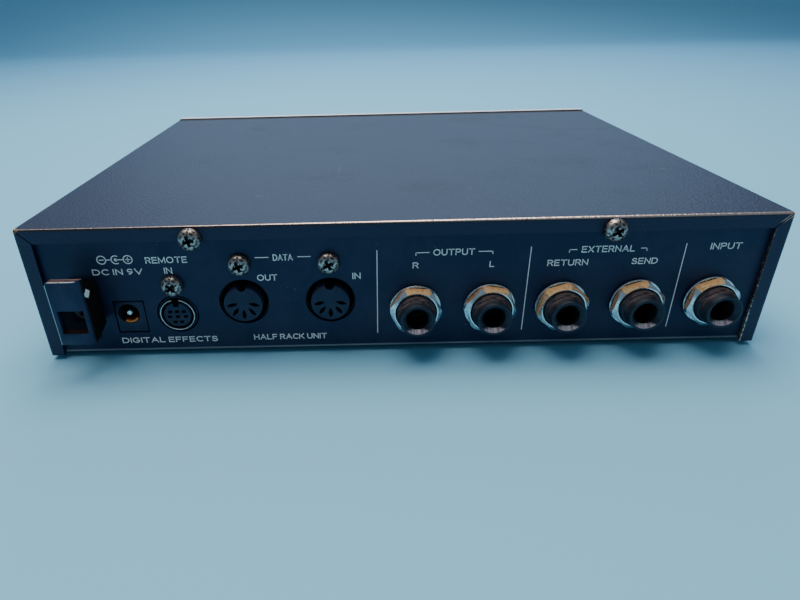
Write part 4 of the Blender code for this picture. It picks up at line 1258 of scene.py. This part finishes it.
def display():
    """A backlit character display and a two-digit patch number behind one smoked window."""
    low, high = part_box("display_window")
    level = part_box("display_module")[0].y - 0.35 * MM
    middle_z = (low.z + high.z) / 2
    shape = bmesh.new()
    near, far = 0.2 * MM, 2.2 * MM  # from the glass to the frame's inner and outer edges
    x0, x1, z0, z1 = low.x + 22 * MM, high.x - 4 * MM, middle_z - 6.5 * MM, middle_z + 6.5 * MM
    for a, b in (((x0 - far, z0 - far), (x1 + far, z0 - near)),
                 ((x0 - far, z1 + near), (x1 + far, z1 + far)),
                 ((x0 - far, z0), (x0 - near, z1)),
                 ((x1 + near, z0), (x1 + far, z1))):
        add_block(shape, (a[0], level - 0.1 * MM, a[1]), (b[0], level + 0.2 * MM, b[1]))
    new_piece("lcd_frame", shape, ["black_plastic"])
    shape = add_block(bmesh.new(), (x0 - near, level + 0.02 * MM, z0 - near),
                      (x1 + near, level + 0.3 * MM, z1 + near))
    new_piece("lcd_glass", shape, ["lcd_green"])
    words = bmesh.new()
    for text, row in (("HALL REVERB", 2.9), ("MIX 50  TIME 2.4", -2.9)):
        place = Matrix.Translation(((x0 + x1) / 2, level, middle_z + row * MM)) @ FACES_FRONT
        add_mesh(words, lettering(text, x1 - x0 - 5 * MM, 3.2 * MM, 0.4 * MM), place)
    new_piece("lcd_characters", words, ["lcd_ink"])
    lit, unlit = bmesh.new(), bmesh.new()
    for index, digit in enumerate(SEGMENTS):
        x = low.x + 7.5 * MM + index * 8.5 * MM
        for on, (a, b) in zip(SEGMENTS[digit], digit_bars(x, middle_z, 5 * MM, 9.5 * MM, level)):
            add_block(lit if on else unlit, a, b)
    new_piece("patch_digits_lit", lit, ["led_lit"])
    new_piece("patch_digits_unlit", unlit, ["led_unlit"])


KNOB_WORDS = (("input", 7.5, 4.2), ("output", 9.5, 4.2), ("value", 8.0, 3.5))  # width, drop in mm
KEY_WORDS = (("edit", 5.2), ("page", 5.6), ("store", 6.8), ("bypass", 8.2))  # width in mm


def front_print():
    sheet = Print(FACES_FRONT, FRONT - PRINT_T / 2 - 0.01 * MM)
    for name, width, drop in KNOB_WORDS:
        low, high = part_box(name + "_knob")
        x, z = (low.x + high.x) / 2, (low.z + high.z) / 2
        sheet.words(name.upper(), x, low.z - drop * MM, width * MM, 1.7 * MM)
        if name == "value":
            continue
        radius, marks = (high.x - low.x) / 2 + 1.3 * MM, 11
        for step in range(marks):
            angle = math.radians(-150 + 300 * step / (marks - 1))
            sheet.dot(x + radius * math.sin(angle), z + radius * math.cos(angle), 0.28 * MM)
    for name, width in KEY_WORDS:
        low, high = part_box(name + "_key")
        sheet.words(name.upper(), (low.x + high.x) / 2, low.z - 1.9 * MM, width * MM, 1.5 * MM)
    power = middle("power_key")
    sheet.words("POWER", power.x, power.z - 9.5 * MM, 7.6 * MM, 1.6 * MM)
    lamp = middle("peak_lamp")
    sheet.words("PEAK", lamp.x + 6.0 * MM, lamp.z - 0.8 * MM, 5.4 * MM, 1.6 * MM)
    sheet.finish("front_print", "panel_finish")


def window_frame():
    """A thin raised rim round the display window, as two levels of an outer and an inner ring."""
    low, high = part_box("display_window")
    rim, edge = 1.2 * MM, 0.3 * MM
    shape = bmesh.new()
    inner = [(low.x, low.z), (high.x, low.z), (high.x, high.z), (low.x, high.z)]
    loops = []
    for level, reach in ((FRONT - 0.02 * MM, rim), (FRONT - 0.6 * MM, rim - edge)):
        outer = [(low.x - reach, low.z - reach), (high.x + reach, low.z - reach),
                 (high.x + reach, high.z + reach), (low.x - reach, high.z + reach)]
        loops.append([[shape.verts.new((x, level, z)) for x, z in ring] for ring in (outer, inner)])
    (out_a, in_a), (out_b, in_b) = loops
    for k in range(4):
        n = (k + 1) % 4
        for first, second in ((out_a, out_b), (in_a, in_b), (out_b, in_b), (out_a, in_a)):
            shape.faces.new([first[k], first[n], second[n], second[k]])
    new_piece("window_rim", shape, ["black_plastic"])


# Underside


def underside():
    """Screws that hold the bottom, and the hollow centre of each foot."""
    bottom = CHASSIS_LOW.z
    shape = bmesh.new()
    places = [(x, y) for x in (-100 * MM, 100 * MM) for y in (-40 * MM, 40 * MM)]
    places += [(x, y) for x in (-90 * MM, 90 * MM) for y in (-22 * MM, 55 * MM)]
    profile = [(0, 0), (0, 2.2 * MM), (-0.5 * MM, 2.1 * MM), (-0.75 * MM, 1.4 * MM), (-0.8 * MM, 0)]
    for x, y in places:
        head = add_rings(bmesh.new(), profile, 40)
        head.transform(Matrix.Translation((x, y, bottom)) @ Matrix.Rotation(math.radians(90), 4, "X"))
        add_mesh(shape, to_mesh(head))
    new_piece("bottom_screws", shape, ["plated_steel"])
    for name in ("front_left", "front_right", "rear_left", "rear_right"):
        low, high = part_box("foot_" + name)
        centre = (low + high) / 2
        radius, height = (high.x - low.x) / 2, high.z - low.z
        hollow = height - 0.9 * MM
        foot = bmesh.new()
        add_rings(foot, [(0, 0), (0, radius), (height - 0.5 * MM, radius * 0.95), (height, radius * 0.88),
                         (height, 2.6 * MM), (hollow, 2.4 * MM), (hollow, 0)], 64)
        flip = Matrix.Rotation(math.radians(-90), 4, "X")
        foot.transform(Matrix.Translation((centre.x, centre.y, high.z)) @ flip)
        new_piece("rubber_foot_" + name, foot, ["foot_rubber"],
                  stands_for=["foot_" + name])


def dress_nodes():
    """Gives every CAD node its procedural finish."""
    slots = {entry["node"]: entry["material_slot"] for entry in frame["record"]["subparts"]}
    for name, node in frame["nodes"].items():
        node.data.materials.clear()
        node.data.materials.append(FINISHES[slots[name]])


def build():
    make_camera()
    make_studio()
    make_finishes()
    dress_nodes()
    for name in JACKS:
        jack_washer(name)
        jack_nut(name)
        jack_barrel(name)
    data_socket("data_out_socket")
    data_socket("data_in_socket")
    remote_socket()
    power_socket()
    cord_hook()
    for name in SCREW_TURNS:
        pan_screw(name)
    rear_print()
    for name in ("input", "output", "value"):
        ribbed_knob(name)
    for name in ("edit_key", "page_key", "store_key", "bypass_key", "power_key"):
        key(name)
    display()
    window_frame()
    front_print()
    underside()


build()
